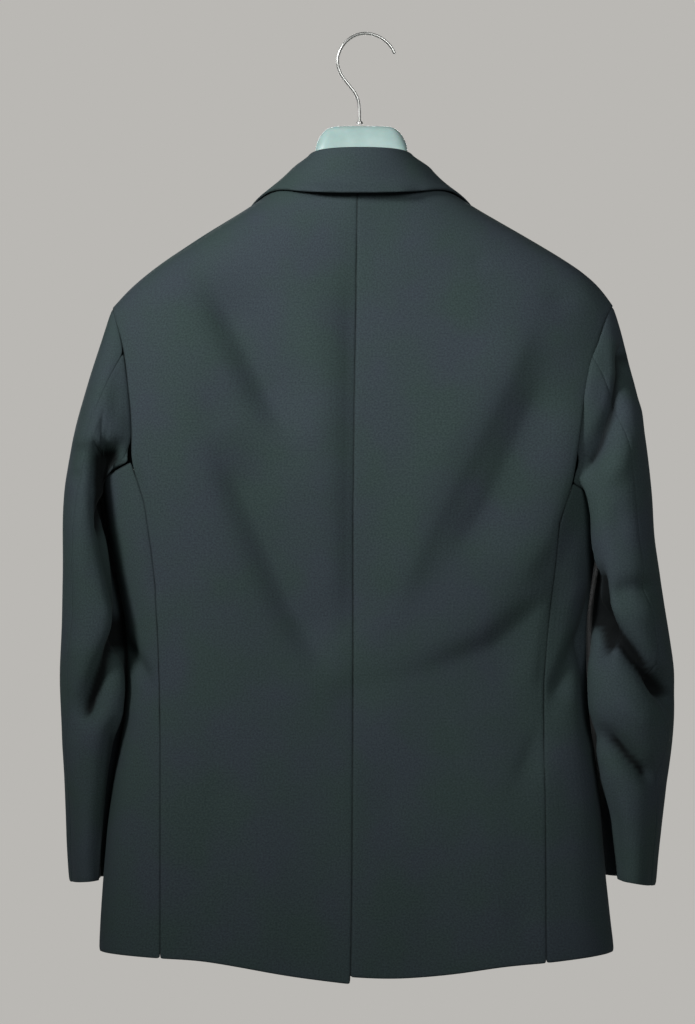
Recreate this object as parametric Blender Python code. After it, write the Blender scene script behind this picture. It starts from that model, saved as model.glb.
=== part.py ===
"""A tailored jacket on a plastic hanger, hung by the hanger's hook.

Each piece of cloth is a closed wall. Its form comes from short tables of level sections, one
table for the body and one for each sleeve, and its edges from the seams that a maker would sew.
The tables are in millimetres. "down" is the distance below the inside of the hook's crown, which
is the origin. +X is the wearer's right, +Y the jacket's front and +Z is up.
"""

import math
from collections import namedtuple

import bmesh
import bpy
import numpy as np

MM = 0.001
FINE_STEPS = 120
LEFT, RIGHT = -1, 1
SIDE_NAMES = {LEFT: "left", RIGHT: "right"}

# Cloth
WALL = 2.0
SEAM_GAP = 0.3
LAID_GAP = 0.45
LAPEL_GAP = 0.9
COLLAR_WALL = 2.4
COLLAR_LIFT = 3.6
COLLAR_CLEARANCE = 4.6
COLLAR_FOLD_RADIUS = 2.3
LEFT_FRONT_LIFT = 1.4
RIGHT_FRONT_SINK = 1.6
RIGHT_LAPEL_SINK = 4.4
SLEEVE_CLEARANCE = 1.7
LAP_REACH = 100
LAP_FADE = 75
LAPEL_END_DOWN = 600
LAPEL_FADE = 50

# Girth of the body: half-widths and depths of level sections.
BodySection = namedtuple("BodySection", "down left centre right back front squareness")
BODY = [
    BodySection(112, -52, -4.0, 51, 42, 38, 2.00),
    BodySection(131, -66, -4.5, 64, 47, 42, 2.00),
    BodySection(155, -97, -5.0, 95, 54, 47, 2.05),
    BodySection(192, -157, -5.5, 159, 62, 54, 2.15),
    BodySection(228, -208, -6.0, 215, 67, 60, 2.25),
    BodySection(246, -227, -6.0, 231, 69, 62, 2.30),
    BodySection(256, -235, -6.2, 236, 70, 63, 2.30),
    BodySection(300, -240, -7.0, 238, 75, 67, 2.40),
    BodySection(360, -243, -8.0, 236, 78, 71, 2.50),
    BodySection(405, -245, -8.5, 232, 78, 72, 2.50),
    BodySection(445, -243, -9.0, 226, 75, 71, 2.60),
    BodySection(500, -233, -9.0, 218, 70, 68, 2.75),
    BodySection(560, -222, -9.0, 211, 66, 65, 2.90),
    BodySection(620, -222, -9.0, 212, 65, 64, 3.00),
    BodySection(700, -236, -9.5, 223, 67, 64, 3.00),
    BodySection(790, -245, -10.0, 230, 70, 64, 3.00),
    BodySection(860, -249, -11.0, 238, 73, 64, 3.00),
    BodySection(900, -250, -12.0, 240, 74, 64, 3.00),
]

# Largest soft folds of the body, as lines across its back or front. They fade at its sides.
FOLD_FADE = 0.4
BodyFold = namedtuple("BodyFold", "face from_x from_down to_x to_down rise half_width")
BODY_FOLDS = [
    BodyFold("back", -7, 210, -9, 640, -2.6, 17),
    BodyFold("back", -149, 233, -72, 380, -3.6, 28),
    BodyFold("back", -108, 453, -61, 568, -2.8, 26),
    BodyFold("back", 136, 288, 62, 412, 3.2, 30),
    BodyFold("back", 136, 357, 89, 433, -3.6, 24),
    BodyFold("back", 181, 435, 138, 585, -2.6, 26),
    BodyFold("back", -224, 560, -196, 612, -4.5, 15),
    BodyFold("back", 212, 556, 146, 674, -4.0, 17),
    BodyFold("front", -150, 300, -120, 470, -3.2, 26),
    BodyFold("front", 150, 310, 118, 480, -3.2, 26),
    BodyFold("front", -205, 540, -120, 585, -3.6, 20),
    BodyFold("front", 200, 548, 115, 600, -3.2, 20),
]

# Hem of the backs, by its place across the body. The left back is longer at the vent.
HemPoint = namedtuple("HemPoint", "x down")
BACK_HEM = {
    LEFT: [
        HemPoint(-250, 855),
        HemPoint(-231, 859),
        HemPoint(-160, 861),
        HemPoint(-114, 867.5),
        HemPoint(-72, 875),
        HemPoint(-12, 883),
    ],
    RIGHT: [
        HemPoint(-10, 876.5),
        HemPoint(24, 878),
        HemPoint(74, 875),
        HemPoint(139, 866.5),
        HemPoint(205, 862),
        HemPoint(240, 856),
    ],
}
SIDE_HEM_DOWN = 856
VENT_HEM_DOWN = 880
FRONT_SEAM_HEM_DOWN = 862

# Centre back neck and the point where the shoulder seam meets it.
BACK_NECK_DOWN = 143
NECK_POINT_DOWN = 131
SHOULDER_POINT_DOWN = {LEFT: 255.5, RIGHT: 253.5}

# Seam between back and side panel, by level.
SeamPoint = namedtuple("SeamPoint", "down x")
SIDE_SEAM = {
    LEFT: [
        SeamPoint(400, -216),
        SeamPoint(423, -207),
        SeamPoint(446, -203),
        SeamPoint(479, -198),
        SeamPoint(513, -194),
        SeamPoint(555, -191),
        SeamPoint(613, -190),
        SeamPoint(641, -188.5),
        SeamPoint(900, -188),
    ],
    RIGHT: [
        SeamPoint(420, 195),
        SeamPoint(437, 188),
        SeamPoint(446, 183),
        SeamPoint(479, 182),
        SeamPoint(530, 178.5),
        SeamPoint(579, 175),
        SeamPoint(630, 172),
        SeamPoint(700, 170),
        SeamPoint(900, 170.5),
    ],
}
FRONT_SEAM = {
    LEFT: [SeamPoint(402, -205), SeamPoint(480, -186), SeamPoint(620, -176), SeamPoint(900, -184)],
    RIGHT: [SeamPoint(424, 190), SeamPoint(480, 174), SeamPoint(620, 165), SeamPoint(900, 174)],
}

# Armhole: its back and front edges by level, and how far it drops between them.
BACK_ARMHOLE = {
    LEFT: [
        SeamPoint(267, -231),
        SeamPoint(296, -223),
        SeamPoint(326, -219),
        SeamPoint(371, -215),
        SeamPoint(400, -216),
    ],
    RIGHT: [
        SeamPoint(264, 228),
        SeamPoint(285, 221),
        SeamPoint(308, 213),
        SeamPoint(362, 202.5),
        SeamPoint(420, 195),
    ],
}
FRONT_ARMHOLE = {
    LEFT: [
        SeamPoint(268, -228),
        SeamPoint(296, -215),
        SeamPoint(330, -204),
        SeamPoint(372, -200),
        SeamPoint(402, -205),
    ],
    RIGHT: [
        SeamPoint(266, 226),
        SeamPoint(296, 211),
        SeamPoint(330, 199),
        SeamPoint(380, 191),
        SeamPoint(424, 190),
    ],
}
ARMHOLE_BOTTOM_DOWN = {LEFT: 417, RIGHT: 438}
ARMHOLE_CROWDING = 1.7
ARMHOLE_BOTTOM_ROUNDNESS = 0.8

# Front edge from the hem up to the neck, outwards from the centre line. Below zero it laps over.
EdgePoint = namedtuple("EdgePoint", "down outward")
FRONT_EDGE = [
    EdgePoint(868, 66),
    EdgePoint(852, 40),
    EdgePoint(815, 11),
    EdgePoint(765, -7),
    EdgePoint(700, -15),
    EdgePoint(640, -16),
    EdgePoint(532, -16),
    EdgePoint(490, -10),
    EdgePoint(420, 2),
    EdgePoint(340, 15),
    EdgePoint(270, 26),
    EdgePoint(215, 36),
    EdgePoint(182, 50),
    EdgePoint(156, 65),
]

# Lapel: its roll line and its free edge, outwards from the centre line.
LapelRow = namedtuple("LapelRow", "roll_out roll_down edge_out edge_down bow")
LAPEL = [
    LapelRow(36, 183, 112, 238, 6),
    LapelRow(33, 215, 109, 263, 4),
    LapelRow(26, 262, 102, 300, 2),
    LapelRow(19, 310, 90, 345, 0),
    LapelRow(11, 362, 75, 394, 0),
    LapelRow(2, 420, 56, 444, 0),
    LapelRow(-6, 468, 33, 486, 0),
    LapelRow(-13, 510, 4, 520, 0),
    LapelRow(-16.5, 534, -13, 537, 0),
]
LAPEL_COLUMNS = 5

# Collar sections from the centre back round to the notch. The fall's edge lies on the body at
# "edge_turn" degrees round from the centre back; the other columns are places across and down.
CollarSection = namedtuple(
    "CollarSection", "fold_out fold_y fold_down edge_turn edge_down foot_out foot_y foot_down bulge"
)
COLLAR = [
    CollarSection(0, -47.0, 107.0, 0, 151.0, 0, -46.5, 142.0, 1.0),
    CollarSection(13, -46.0, 107.0, 9, 151.0, 14, -45.5, 141.5, 1.0),
    CollarSection(26, -42.0, 107.5, 24, 150.5, 29, -42.0, 140.0, 1.0),
    CollarSection(38, -33.0, 108.5, 41, 149.0, 44, -33.5, 137.0, 1.0),
    CollarSection(45, -21.0, 110.5, 57, 147.0, 52, -22.0, 133.0, 1.0),
    CollarSection(48, -7.0, 113.5, 75, 148.5, 57, -8.0, 130.5, 1.0),
    CollarSection(49, 6.0, 118.5, 92, 153.5, 57, 6.0, 131.5, 1.0),
    CollarSection(48, 18.0, 127.5, 107, 162.0, 52, 19.0, 139.0, 1.0),
    CollarSection(46, 31.0, 142.0, 122, 174.0, 49, 30.0, 152.0, 0.5),
    CollarSection(41, 42.0, 161.0, 134, 184.0, 42, 40.0, 169.0, 0.0),
    CollarSection(37, 48.5, 178.0, 141, 194.0, 37, 46.0, 183.0, -3.0),
]
COLLAR_CENTRE_X = -1.6
COLLAR_FALL_STEPS = 5
COLLAR_ROLL_STEPS = 4
COLLAR_STAND_STEPS = 3

# Sleeve sections: outermost and innermost x, the middle's y and the half depth front to back,
# and the turn in degrees of the hind and fore seams, from straight out round by the back.
SleeveSection = namedtuple("SleeveSection", "down outer inner middle_y half_depth hind fore")
SLEEVES = {
    LEFT: [
        SleeveSection(455, -281, -226, 5, 61, 62, 262),
        SleeveSection(500, -281, -222, 9, 64, 56, 256),
        SleeveSection(545, -282, -213, 13, 66, 50, 250),
        SleeveSection(600, -284.4, -206, 18, 66, 44, 244),
        SleeveSection(645, -283, -206, 24, 64, 38, 238),
        SleeveSection(700, -280.5, -210, 33, 61, 32, 232),
        SleeveSection(750, -279.5, -214, 41, 59, 27, 226),
        SleeveSection(795, -277, -220, 47, 57, 23, 222),
    ],
    RIGHT: [
        SleeveSection(465, 272.5, 203, -2, 61, 62, 262),
        SleeveSection(505, 278.5, 207, -2, 63, 57, 256),
        SleeveSection(560, 287, 202, 0, 65, 50, 248),
        SleeveSection(610, 293.4, 201, 2, 65, 44, 242),
        SleeveSection(650, 291.5, 203, 5, 63, 40, 238),
        SleeveSection(700, 286, 209, 10, 60, 36, 232),
        SleeveSection(750, 280, 214, 15, 58, 34, 227),
        SleeveSection(797, 276, 221, 19, 57, 33, 222),
    ],
}
CUFF_DOWN = {LEFT: 791.5, RIGHT: 791.5}
CUFF_SLOPE = {LEFT: 2.5, RIGHT: 4.5}
SLEEVE_SQUARENESS = 2.2
CAP_ROWS = 8
CAP_CROWDING = 1.15
CAP_OUTWARD = 0.30
CAP_UNDER_OUTWARD = 0.75
CAP_REARWARD = 0.45
CAP_FALL = 0.95
CAP_UNDER_LIFT = 0.75
CAP_UNDER_SHORTENING = 0.35
SETTLING_ROWS = 3
SLEEVE_ROWS = 16
HIND_STATION = 5
FORE_STATION = 19
VENT_DOWN = 700
VENT_GAP = 0.9
VENT_OPENING = 25

# Largest folds of the sleeves, as lines by turn and level.
SleeveFold = namedtuple("SleeveFold", "from_turn from_down to_turn to_down rise half_width")
SLEEVE_FOLDS = {
    LEFT: [
        SleeveFold(98, 396, 132, 424, -13, 17),
        SleeveFold(60, 372, 140, 370, 4.5, 16),
        SleeveFold(150, 560, 84, 626, -9, 15),
        SleeveFold(110, 548, 62, 590, 4, 18),
        SleeveFold(150, 470, 120, 520, 3, 20),
        SleeveFold(40, 660, 120, 640, 3, 20),
        SleeveFold(290, 560, 330, 620, -4, 20),
        SleeveFold(200, 590, 262, 560, -5, 18),
    ],
    RIGHT: [
        SleeveFold(48, 282, 74, 330, -5, 15),
        SleeveFold(74, 330, 132, 398, -7.5, 16),
        SleeveFold(84, 410, 110, 450, 3.5, 20),
        SleeveFold(150, 560, 42, 613, -9.5, 15),
        SleeveFold(120, 632, 50, 650, 5.5, 17),
        SleeveFold(95, 524, 40, 520, -3.5, 16),
        SleeveFold(118, 660, 48, 698, -5, 15),
        SleeveFold(290, 560, 330, 620, -4, 20),
        SleeveFold(200, 600, 262, 570, -5, 18),
    ],
}
SLEEVE_MM_PER_DEGREE = 0.87

# Panels' cells
PANEL_COLUMNS = 9
SIDE_COLUMNS = 6
SIDE_MM_PER_TURN = 100.0
SEAM_ROWS = 12
ARMHOLE_EDGE_STEPS = 10
ARMHOLE_BOTTOM_STEPS = 6

# Strip of the right back under the left one at the vent
UNDERLAP_TOP_DOWN = 700
UNDERLAP_BOTTOM_DOWN = 875.5
UNDERLAP_LEFT_OUT = 30
UNDERLAP_RIGHT_OUT = 9
UNDERLAP_ROWS = 7

# Buttons
ButtonRing = namedtuple("ButtonRing", "radius height")
BUTTON = [
    ButtonRing(8.8, 0.0),
    ButtonRing(10.0, 1.1),
    ButtonRing(10.0, 2.3),
    ButtonRing(9.3, 3.2),
    ButtonRing(8.4, 3.2),
    ButtonRing(7.5, 2.5),
]
BUTTON_DOWNS = [548, 655]
BUTTON_SIDES = 20

# Hanger
HangerSection = namedtuple("HangerSection", "out top_down height half_depth")
HUB = [
    HangerSection(0, 84, 58, 15),
    HangerSection(16, 84, 58, 15),
    HangerSection(27, 84.4, 57, 15),
    HangerSection(33, 87.0, 53, 14.5),
    HangerSection(38, 92.5, 48, 14),
    HangerSection(42, 100, 42, 14),
    HangerSection(43.2, 107, 39, 12.5),
    HangerSection(42.9, 117, 35, 10),
    HangerSection(44.4, 124, 32, 10.5),
    HangerSection(50, 131, 31, 12),
    HangerSection(60, 140, 28, 12),
    HangerSection(72, 147, 26, 12),
]
HANGER_CENTRE_X = -1.0
HANGER_SEAT_GAP = 1.7
HANGER_ARM_OUTS = [86, 100, 116, 134, 153, 171, 188, 202, 212, 218]
HANGER_ARM_HEIGHT = 28
HANGER_TIP_HEIGHT = 15
HANGER_ARM_HALF_DEPTH = 14
HANGER_TIP_HALF_DEPTH = 17
HANGER_TAPER_OUT = 150
HANGER_SLOPE_REACH = 4
HANGER_END_DROP = 4
HANGER_END_LESS_HEIGHT = 8
HANGER_END_LESS_DEPTH = 5
HANGER_SIDES = 12
HANGER_SQUARENESS = 2.1

# Hook: the wire's centre line from its free end over the crown and down to the hanger
WIRE_RADIUS = 1.5
HookPoint = namedtuple("HookPoint", "x down")
HOOK = [
    HookPoint(30.3, 17.8),
    HookPoint(26.2, 10.2),
    HookPoint(18.0, 3.0),
    HookPoint(9.0, -0.8),
    HookPoint(0.0, -1.5),
    HookPoint(-9.5, 1.6),
    HookPoint(-18.0, 9.0),
    HookPoint(-22.6, 18.5),
    HookPoint(-23.2, 28.0),
    HookPoint(-19.8, 37.5),
    HookPoint(-13.0, 46.5),
    HookPoint(-6.8, 54.5),
    HookPoint(-3.9, 61.5),
    HookPoint(-3.0, 69.0),
    HookPoint(-2.8, 76.5),
    HookPoint(-2.7, 83.7),
]
HOOK_STEP = 4.2
HOOK_CURVE_STEPS = 12
FERRULE_INNER = 1.8
FERRULE_OUTER = 3.0
FERRULE_TOP_DOWN = 80.6
FERRULE_BOTTOM_DOWN = 83.7
FERRULE_SIDES = 16
FERRULE_CHAMFER = 0.6
FERRULE_CHAMFER_HEIGHT = 0.9


def column(table, name):
    return np.array([getattr(row, name) for row in table], float)


def along(table, key, name, at):
    """One column of a table at given places of another, on a smooth curve that never overshoots."""
    places = column(table, key)
    values = column(table, name)
    order = np.argsort(places)
    places = places[order]
    values = values[order]
    steps = np.diff(places)
    rises = np.diff(values) / steps
    slopes = np.zeros_like(values)
    product = rises[1:] * rises[:-1]
    total = rises[1:] + rises[:-1]
    turning = (product <= 0) | (total == 0)
    slopes[1:-1] = np.where(turning, 0, 2 * product / np.where(turning, 1, total))
    slopes[0] = rises[0]
    slopes[-1] = rises[-1]
    at = np.clip(np.asarray(at, float), places[0], places[-1])
    cell = np.clip(np.searchsorted(places, at, side="right") - 1, 0, len(steps) - 1)
    part = (at - places[cell]) / steps[cell]
    return (
        values[cell] * (1 + 2 * part) * (1 - part) ** 2
        + slopes[cell] * steps[cell] * part * (1 - part) ** 2
        + values[cell + 1] * part**2 * (3 - 2 * part)
        + slopes[cell + 1] * steps[cell] * part**2 * (part - 1)
    )


def ease(value):
    """0 below zero, 1 above one and a smooth rise between."""
    value = np.clip(value, 0, 1)
    return value * value * (3 - 2 * value)


def signed_power(value, power):
    return np.sign(value) * np.abs(value) ** power


def unit(vectors):
    length = np.linalg.norm(vectors, axis=-1, keepdims=True)
    return vectors / np.where(length == 0, 1, length)


def segment_distance(x, y, start, end):
    """Distance from points to a straight line between two places."""
    across = np.array(end, float) - np.array(start, float)
    part = ((x - start[0]) * across[0] + (y - start[1]) * across[1]) / (across @ across)
    part = np.clip(part, 0, 1)
    return np.hypot(x - start[0] - part * across[0], y - start[1] - part * across[1])


def centre_x(down):
    return along(BODY, "down", "centre", down)


def half_width(side, down):
    edge = along(BODY, "down", "left" if side == LEFT else "right", down)
    return np.abs(edge - centre_x(down))


def turn_of(side, x, down, face):
    """Turn round the body from the centre back, in radians, of a place across its back or front."""
    share = np.clip(np.abs(x - centre_x(down)) / half_width(side, down), 0, 1)
    turn = np.arcsin(share ** (along(BODY, "down", "squareness", down) / 2))
    return turn if face == "back" else math.pi - turn


def plain_body(side, turn, down):
    """Points of the smooth body, before its folds."""
    power = 2 / along(BODY, "down", "squareness", down)
    x = centre_x(down) + side * half_width(side, down) * signed_power(np.sin(turn), power)
    depth = np.where(
        np.cos(turn) > 0,
        along(BODY, "down", "back", down),
        along(BODY, "down", "front", down),
    )
    y = -depth * signed_power(np.cos(turn), power)
    return np.stack([x, y, -down], axis=-1)


def body_rise(turn, x, down):
    """Height of the folds at places of the body."""
    rise = np.zeros_like(x)
    for fold in BODY_FOLDS:
        facing = np.cos(turn) if fold.face == "back" else -np.cos(turn)
        start = (fold.from_x, fold.from_down)
        distance = segment_distance(x, down, start, (fold.to_x, fold.to_down))
        rise += fold.rise * np.exp(-((distance / fold.half_width) ** 2)) * ease(facing / FOLD_FADE)
    return rise


def normals_of(surface, side, turn, down):
    turn_step = 2e-3
    down_step = 0.5
    across = surface(side, turn + turn_step, down) - surface(side, turn - turn_step, down)
    along_down = surface(side, turn, down + down_step) - surface(side, turn, down - down_step)
    return side * unit(np.cross(along_down, across))


def body(side, turn, down):
    """Points on the outside of the body, with its folds."""
    points = plain_body(side, turn, down)
    outward = normals_of(plain_body, side, turn, down)
    return points + outward * body_rise(turn, points[..., 0], down)[..., None]


def body_with_normals(side, turn, down):
    turn = np.asarray(turn, float)
    down = np.asarray(down, float)
    return body(side, turn, down), normals_of(body, side, turn, down)


SMALLEST_SHARE = 0.05


def clear_of_body(points, clearance):
    """Moves points that are inside the body, or too near it, straight out from its middle."""
    down = -points[..., 2]
    across = points[..., 0] - centre_x(down)
    side_width = np.where(across < 0, half_width(LEFT, down), half_width(RIGHT, down))
    back = along(BODY, "down", "back", down)
    front = along(BODY, "down", "front", down)
    depth = np.where(points[..., 1] < 0, back, front)
    power = along(BODY, "down", "squareness", down)
    share = np.abs(across / (side_width + clearance)) ** power
    share += np.abs(points[..., 1] / (depth + clearance)) ** power
    scale = np.where(share < 1, np.maximum(share, SMALLEST_SHARE) ** (-1 / power), 1)
    moved = points.copy()
    moved[..., 0] = centre_x(down) + across * scale
    moved[..., 1] = points[..., 1] * scale
    return moved


def fractions(points):
    """Share of its length at each point of a line."""
    steps = np.linalg.norm(np.diff(points, axis=0), axis=1)
    travelled = np.concatenate([[0], np.cumsum(steps)])
    return travelled / travelled[-1]


def resample(points, shares):
    """Points at given shares of a line's length."""
    own = fractions(points)
    return np.stack([np.interp(shares, own, points[:, i]) for i in range(points.shape[1])], axis=1)


def filled(bottom, top, left, right):
    """A grid of places whose four edges are the given lines, blended between them."""
    across = (fractions(bottom) + fractions(top)) / 2
    up = (fractions(left) + fractions(right)) / 2
    u = across[:, None, None]
    v = up[None, :, None]
    corners = (
        (1 - u) * (1 - v) * bottom[0]
        + u * (1 - v) * bottom[-1]
        + (1 - u) * v * top[0]
        + u * v * top[-1]
    )
    between_sides = (1 - u) * left[None] + u * right[None]
    between_ends = (1 - v) * bottom[:, None] + v * top[:, None]
    return between_sides + between_ends - corners


def pull_in(points, normals, edge, gap):
    """Moves one edge of a grid of points into the piece, within its surface."""
    at, inside, run = {
        "first_column": (np.s_[0], np.s_[1], 0),
        "last_column": (np.s_[-1], np.s_[-2], 0),
        "first_row": (np.s_[:, 0], np.s_[:, 1], 0),
        "last_row": (np.s_[:, -1], np.s_[:, -2], 0),
    }[edge]
    line = points[at]
    direction = unit(np.gradient(line, axis=run))
    inward = unit(np.cross(normals[at], direction))
    toward = points[inside] - line
    sign = np.where(np.sum(inward * toward, axis=-1, keepdims=True) < 0, -1, 1)
    points[at] = line + inward * sign * gap


def new_object(name, bm, material, sharp_degrees=50):
    mesh = bpy.data.meshes.new(name)
    bmesh.ops.recalc_face_normals(bm, faces=bm.faces)
    bm.to_mesh(mesh)
    bm.free()
    mesh.shade_smooth()
    mesh.set_sharp_from_angle(angle=math.radians(sharp_degrees))
    mesh.materials.append(material)
    obj = bpy.data.objects.new(name, mesh)
    bpy.context.scene.collection.objects.link(obj)
    return obj


def verts_of(bm, grid):
    """One vertex for each point of a grid in millimetres."""
    return [[bm.verts.new(point * MM) for point in line] for line in grid]


def join_lines(bm, lines):
    """Faces between each line of vertices and the next."""
    for line, follower in zip(lines, lines[1:]):
        for i in range(len(line) - 1):
            bm.faces.new((line[i], line[i + 1], follower[i + 1], follower[i]))


def wall(name, outer, inner, material):
    """A closed wall between two grids of points."""
    bm = bmesh.new()
    outer_verts = verts_of(bm, outer)
    inner_verts = verts_of(bm, inner)
    join_lines(bm, outer_verts)
    join_lines(bm, inner_verts)
    join_lines(bm, [outer_verts[0], inner_verts[0]])
    join_lines(bm, [outer_verts[-1], inner_verts[-1]])
    first_rows = [[line[0] for line in grid] for grid in (outer_verts, inner_verts)]
    last_rows = [[line[-1] for line in grid] for grid in (outer_verts, inner_verts)]
    join_lines(bm, first_rows)
    join_lines(bm, last_rows)
    return new_object(name, bm, material)


def rings_to_solid(name, rings, material):
    """A closed body through rings of points, flat at both ends."""
    bm = bmesh.new()
    lines = verts_of(bm, rings)
    closed_lines = [line + line[:1] for line in lines]
    join_lines(bm, closed_lines)
    bm.faces.new(lines[0])
    bm.faces.new(lines[-1])
    return new_object(name, bm, material)


def principled(name, colour, roughness, metallic=0.0):
    material = bpy.data.materials.new(name)
    material.use_nodes = True
    shader = material.node_tree.nodes["Principled BSDF"]
    shader.inputs["Base Color"].default_value = (*colour, 1)
    shader.inputs["Roughness"].default_value = roughness
    shader.inputs["Metallic"].default_value = metallic
    return material


def ridge_x(side, down):
    return centre_x(down) + side * half_width(side, down)


def armhole(side):
    """Turn and level of each station round an armhole, from the shoulder point by the back."""
    shoulder = SHOULDER_POINT_DOWN[side]
    crowd = (np.arange(ARMHOLE_EDGE_STEPS + 1) / ARMHOLE_EDGE_STEPS) ** ARMHOLE_CROWDING
    start = [SeamPoint(shoulder, ridge_x(side, shoulder))]
    turns = []
    downs = []
    for face, table in (("back", BACK_ARMHOLE[side]), ("front", FRONT_ARMHOLE[side])):
        rows = start + table
        lines = np.linspace(shoulder, rows[-1].down, FINE_STEPS)
        line = np.stack([along(rows, "down", "x", lines), lines], axis=1)
        line = resample(line, crowd)
        turns.append(turn_of(side, line[:, 0], line[:, 1], face))
        downs.append(line[:, 1])
    bottom = np.linspace(0, 1, ARMHOLE_BOTTOM_STEPS + 1)
    bottom_turn = turns[0][-1] + (turns[1][-1] - turns[0][-1]) * bottom
    straight = downs[0][-1] + (downs[1][-1] - downs[0][-1]) * bottom
    drop = ARMHOLE_BOTTOM_DOWN[side] - (downs[0][-1] + downs[1][-1]) / 2
    bottom_down = straight + drop * np.sin(math.pi * bottom) ** ARMHOLE_BOTTOM_ROUNDNESS
    turn = np.concatenate([turns[0], bottom_turn[1:-1], turns[1][::-1][:-1]])
    down = np.concatenate([downs[0], bottom_down[1:-1], downs[1][::-1][:-1]])
    return turn, down


BACK_TOP = ARMHOLE_EDGE_STEPS
FRONT_TOP = ARMHOLE_EDGE_STEPS + ARMHOLE_BOTTOM_STEPS
STATIONS = 2 * ARMHOLE_EDGE_STEPS + ARMHOLE_BOTTOM_STEPS


def seam_places(side, table, hem_down, top_down):
    """Places across and down a long seam, from the hem to the armhole."""
    downs = np.linspace(hem_down, top_down, SEAM_ROWS + 1)
    return np.stack([along(table, "down", "x", downs), downs], axis=1)


def shoulder_places(side, count):
    """Places along the shoulder seam from the neck to the shoulder point, on the ridge."""
    downs = np.linspace(NECK_POINT_DOWN, SHOULDER_POINT_DOWN[side], FINE_STEPS)
    line = np.stack([ridge_x(side, downs), downs], axis=1)
    return resample(line, np.linspace(0, 1, count))


def armhole_places(side, first, last):
    turn, down = armhole(side)
    picked = np.arange(first, last + 1) % STATIONS
    points = plain_body(side, turn[picked], down[picked])
    return np.stack([points[:, 0], down[picked]], axis=1)


def panel(name, side, places, face, lift, material, open_edges):
    """A wall of the body over a grid of places across and down its back or front."""
    x = places[..., 0]
    down = places[..., 1]
    other = np.where(side * (x - centre_x(down)) < 0, -side, side)
    turns = np.where(other == side, turn_of(side, x, down, face), turn_of(-side, x, down, face))
    own, own_normals = body_with_normals(side, turns, down)
    across, across_normals = body_with_normals(-side, turns, down)
    mine = (other == side)[..., None]
    points = np.where(mine, own, across)
    normals = np.where(mine, own_normals, across_normals)
    for edge in open_edges:
        pull_in(points, normals, edge, SEAM_GAP / 2)
    outer = points + normals * lift[..., None]
    return wall(name, outer, outer - normals * WALL, material)


def make_back(side, material):
    hem_rows = BACK_HEM[side]
    hem_x = np.linspace(centre_x(VENT_HEM_DOWN), SIDE_SEAM[side][-1].x, PANEL_COLUMNS + 1)
    bottom = np.stack([hem_x, along(hem_rows, "x", "down", hem_x)], axis=1)
    seam = seam_places(side, SIDE_SEAM[side], bottom[-1, 1], SIDE_SEAM[side][0].down)
    seam[0] = bottom[-1]
    right = np.concatenate([seam, armhole_places(side, 0, BACK_TOP)[::-1][1:]])
    shares = fractions(right)
    left_down = bottom[0, 1] + (BACK_NECK_DOWN - bottom[0, 1]) * shares
    left = np.stack([centre_x(left_down), left_down], axis=1)
    neck_x = np.linspace(centre_x(BACK_NECK_DOWN), ridge_x(side, NECK_POINT_DOWN), FINE_STEPS)
    neck_part = np.linspace(0, 1, FINE_STEPS)
    neck_down = BACK_NECK_DOWN + (NECK_POINT_DOWN - BACK_NECK_DOWN) * neck_part**2
    neck = np.stack([neck_x, neck_down], axis=1)
    top = np.concatenate([neck, shoulder_places(side, FINE_STEPS)[1:]])
    top = resample(top, np.linspace(0, 1, PANEL_COLUMNS + 1))
    places = filled(bottom, top, left, right)
    lift = np.zeros(places.shape[:2])
    edges = ["first_column", "last_column", "last_row"]
    return panel(f"back_{SIDE_NAMES[side]}", side, places, "back", lift, material, edges)


def make_side_panel(side, material):
    turn, down = armhole(side)
    back_down = along(BACK_HEM[side], "x", "down", SIDE_SEAM[side][-1].x)
    back_seam = seam_places(side, SIDE_SEAM[side], float(back_down), SIDE_SEAM[side][0].down)
    front_seam = seam_places(side, FRONT_SEAM[side], FRONT_SEAM_HEM_DOWN, FRONT_SEAM[side][0].down)
    left = np.stack([turn_of(side, *back_seam.T, "back"), back_seam[:, 1]], axis=1)
    right = np.stack([turn_of(side, *front_seam.T, "front"), front_seam[:, 1]], axis=1)
    left[-1] = (turn[BACK_TOP], down[BACK_TOP])
    right[-1] = (turn[FRONT_TOP], down[FRONT_TOP])
    picked = np.arange(BACK_TOP, FRONT_TOP + 1)
    top = np.stack([turn[picked], down[picked]], axis=1)
    part = np.linspace(0, 1, SIDE_COLUMNS + 1)
    hem_turn = left[0, 0] + (right[0, 0] - left[0, 0]) * part
    straight = left[0, 1] + (right[0, 1] - left[0, 1]) * part
    middle = (left[0, 1] + right[0, 1]) / 2
    hem_down = straight - (middle - SIDE_HEM_DOWN) * np.sin(math.pi * part)
    bottom = np.stack([hem_turn, hem_down], axis=1)
    scale = np.array([SIDE_MM_PER_TURN, 1.0])
    places = filled(bottom * scale, top * scale, left * scale, right * scale) / scale
    points, normals = body_with_normals(side, places[..., 0], places[..., 1])
    for edge in ("first_column", "last_column", "last_row"):
        pull_in(points, normals, edge, SEAM_GAP / 2)
    name = f"side_panel_{SIDE_NAMES[side]}"
    return wall(name, points, points - normals * WALL, material)


def front_lift(side, x, down):
    """How far a front lies outside, or inside, the body's section, where the two overlap."""
    outward = side * (x - centre_x(down))
    near = ease((LAP_REACH - outward) / LAP_FADE)
    if side == LEFT:
        return LEFT_FRONT_LIFT * near
    under_lapel = ease((LAPEL_END_DOWN - down) / LAPEL_FADE)
    return -near * (RIGHT_FRONT_SINK + (RIGHT_LAPEL_SINK - RIGHT_FRONT_SINK) * under_lapel)


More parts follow.
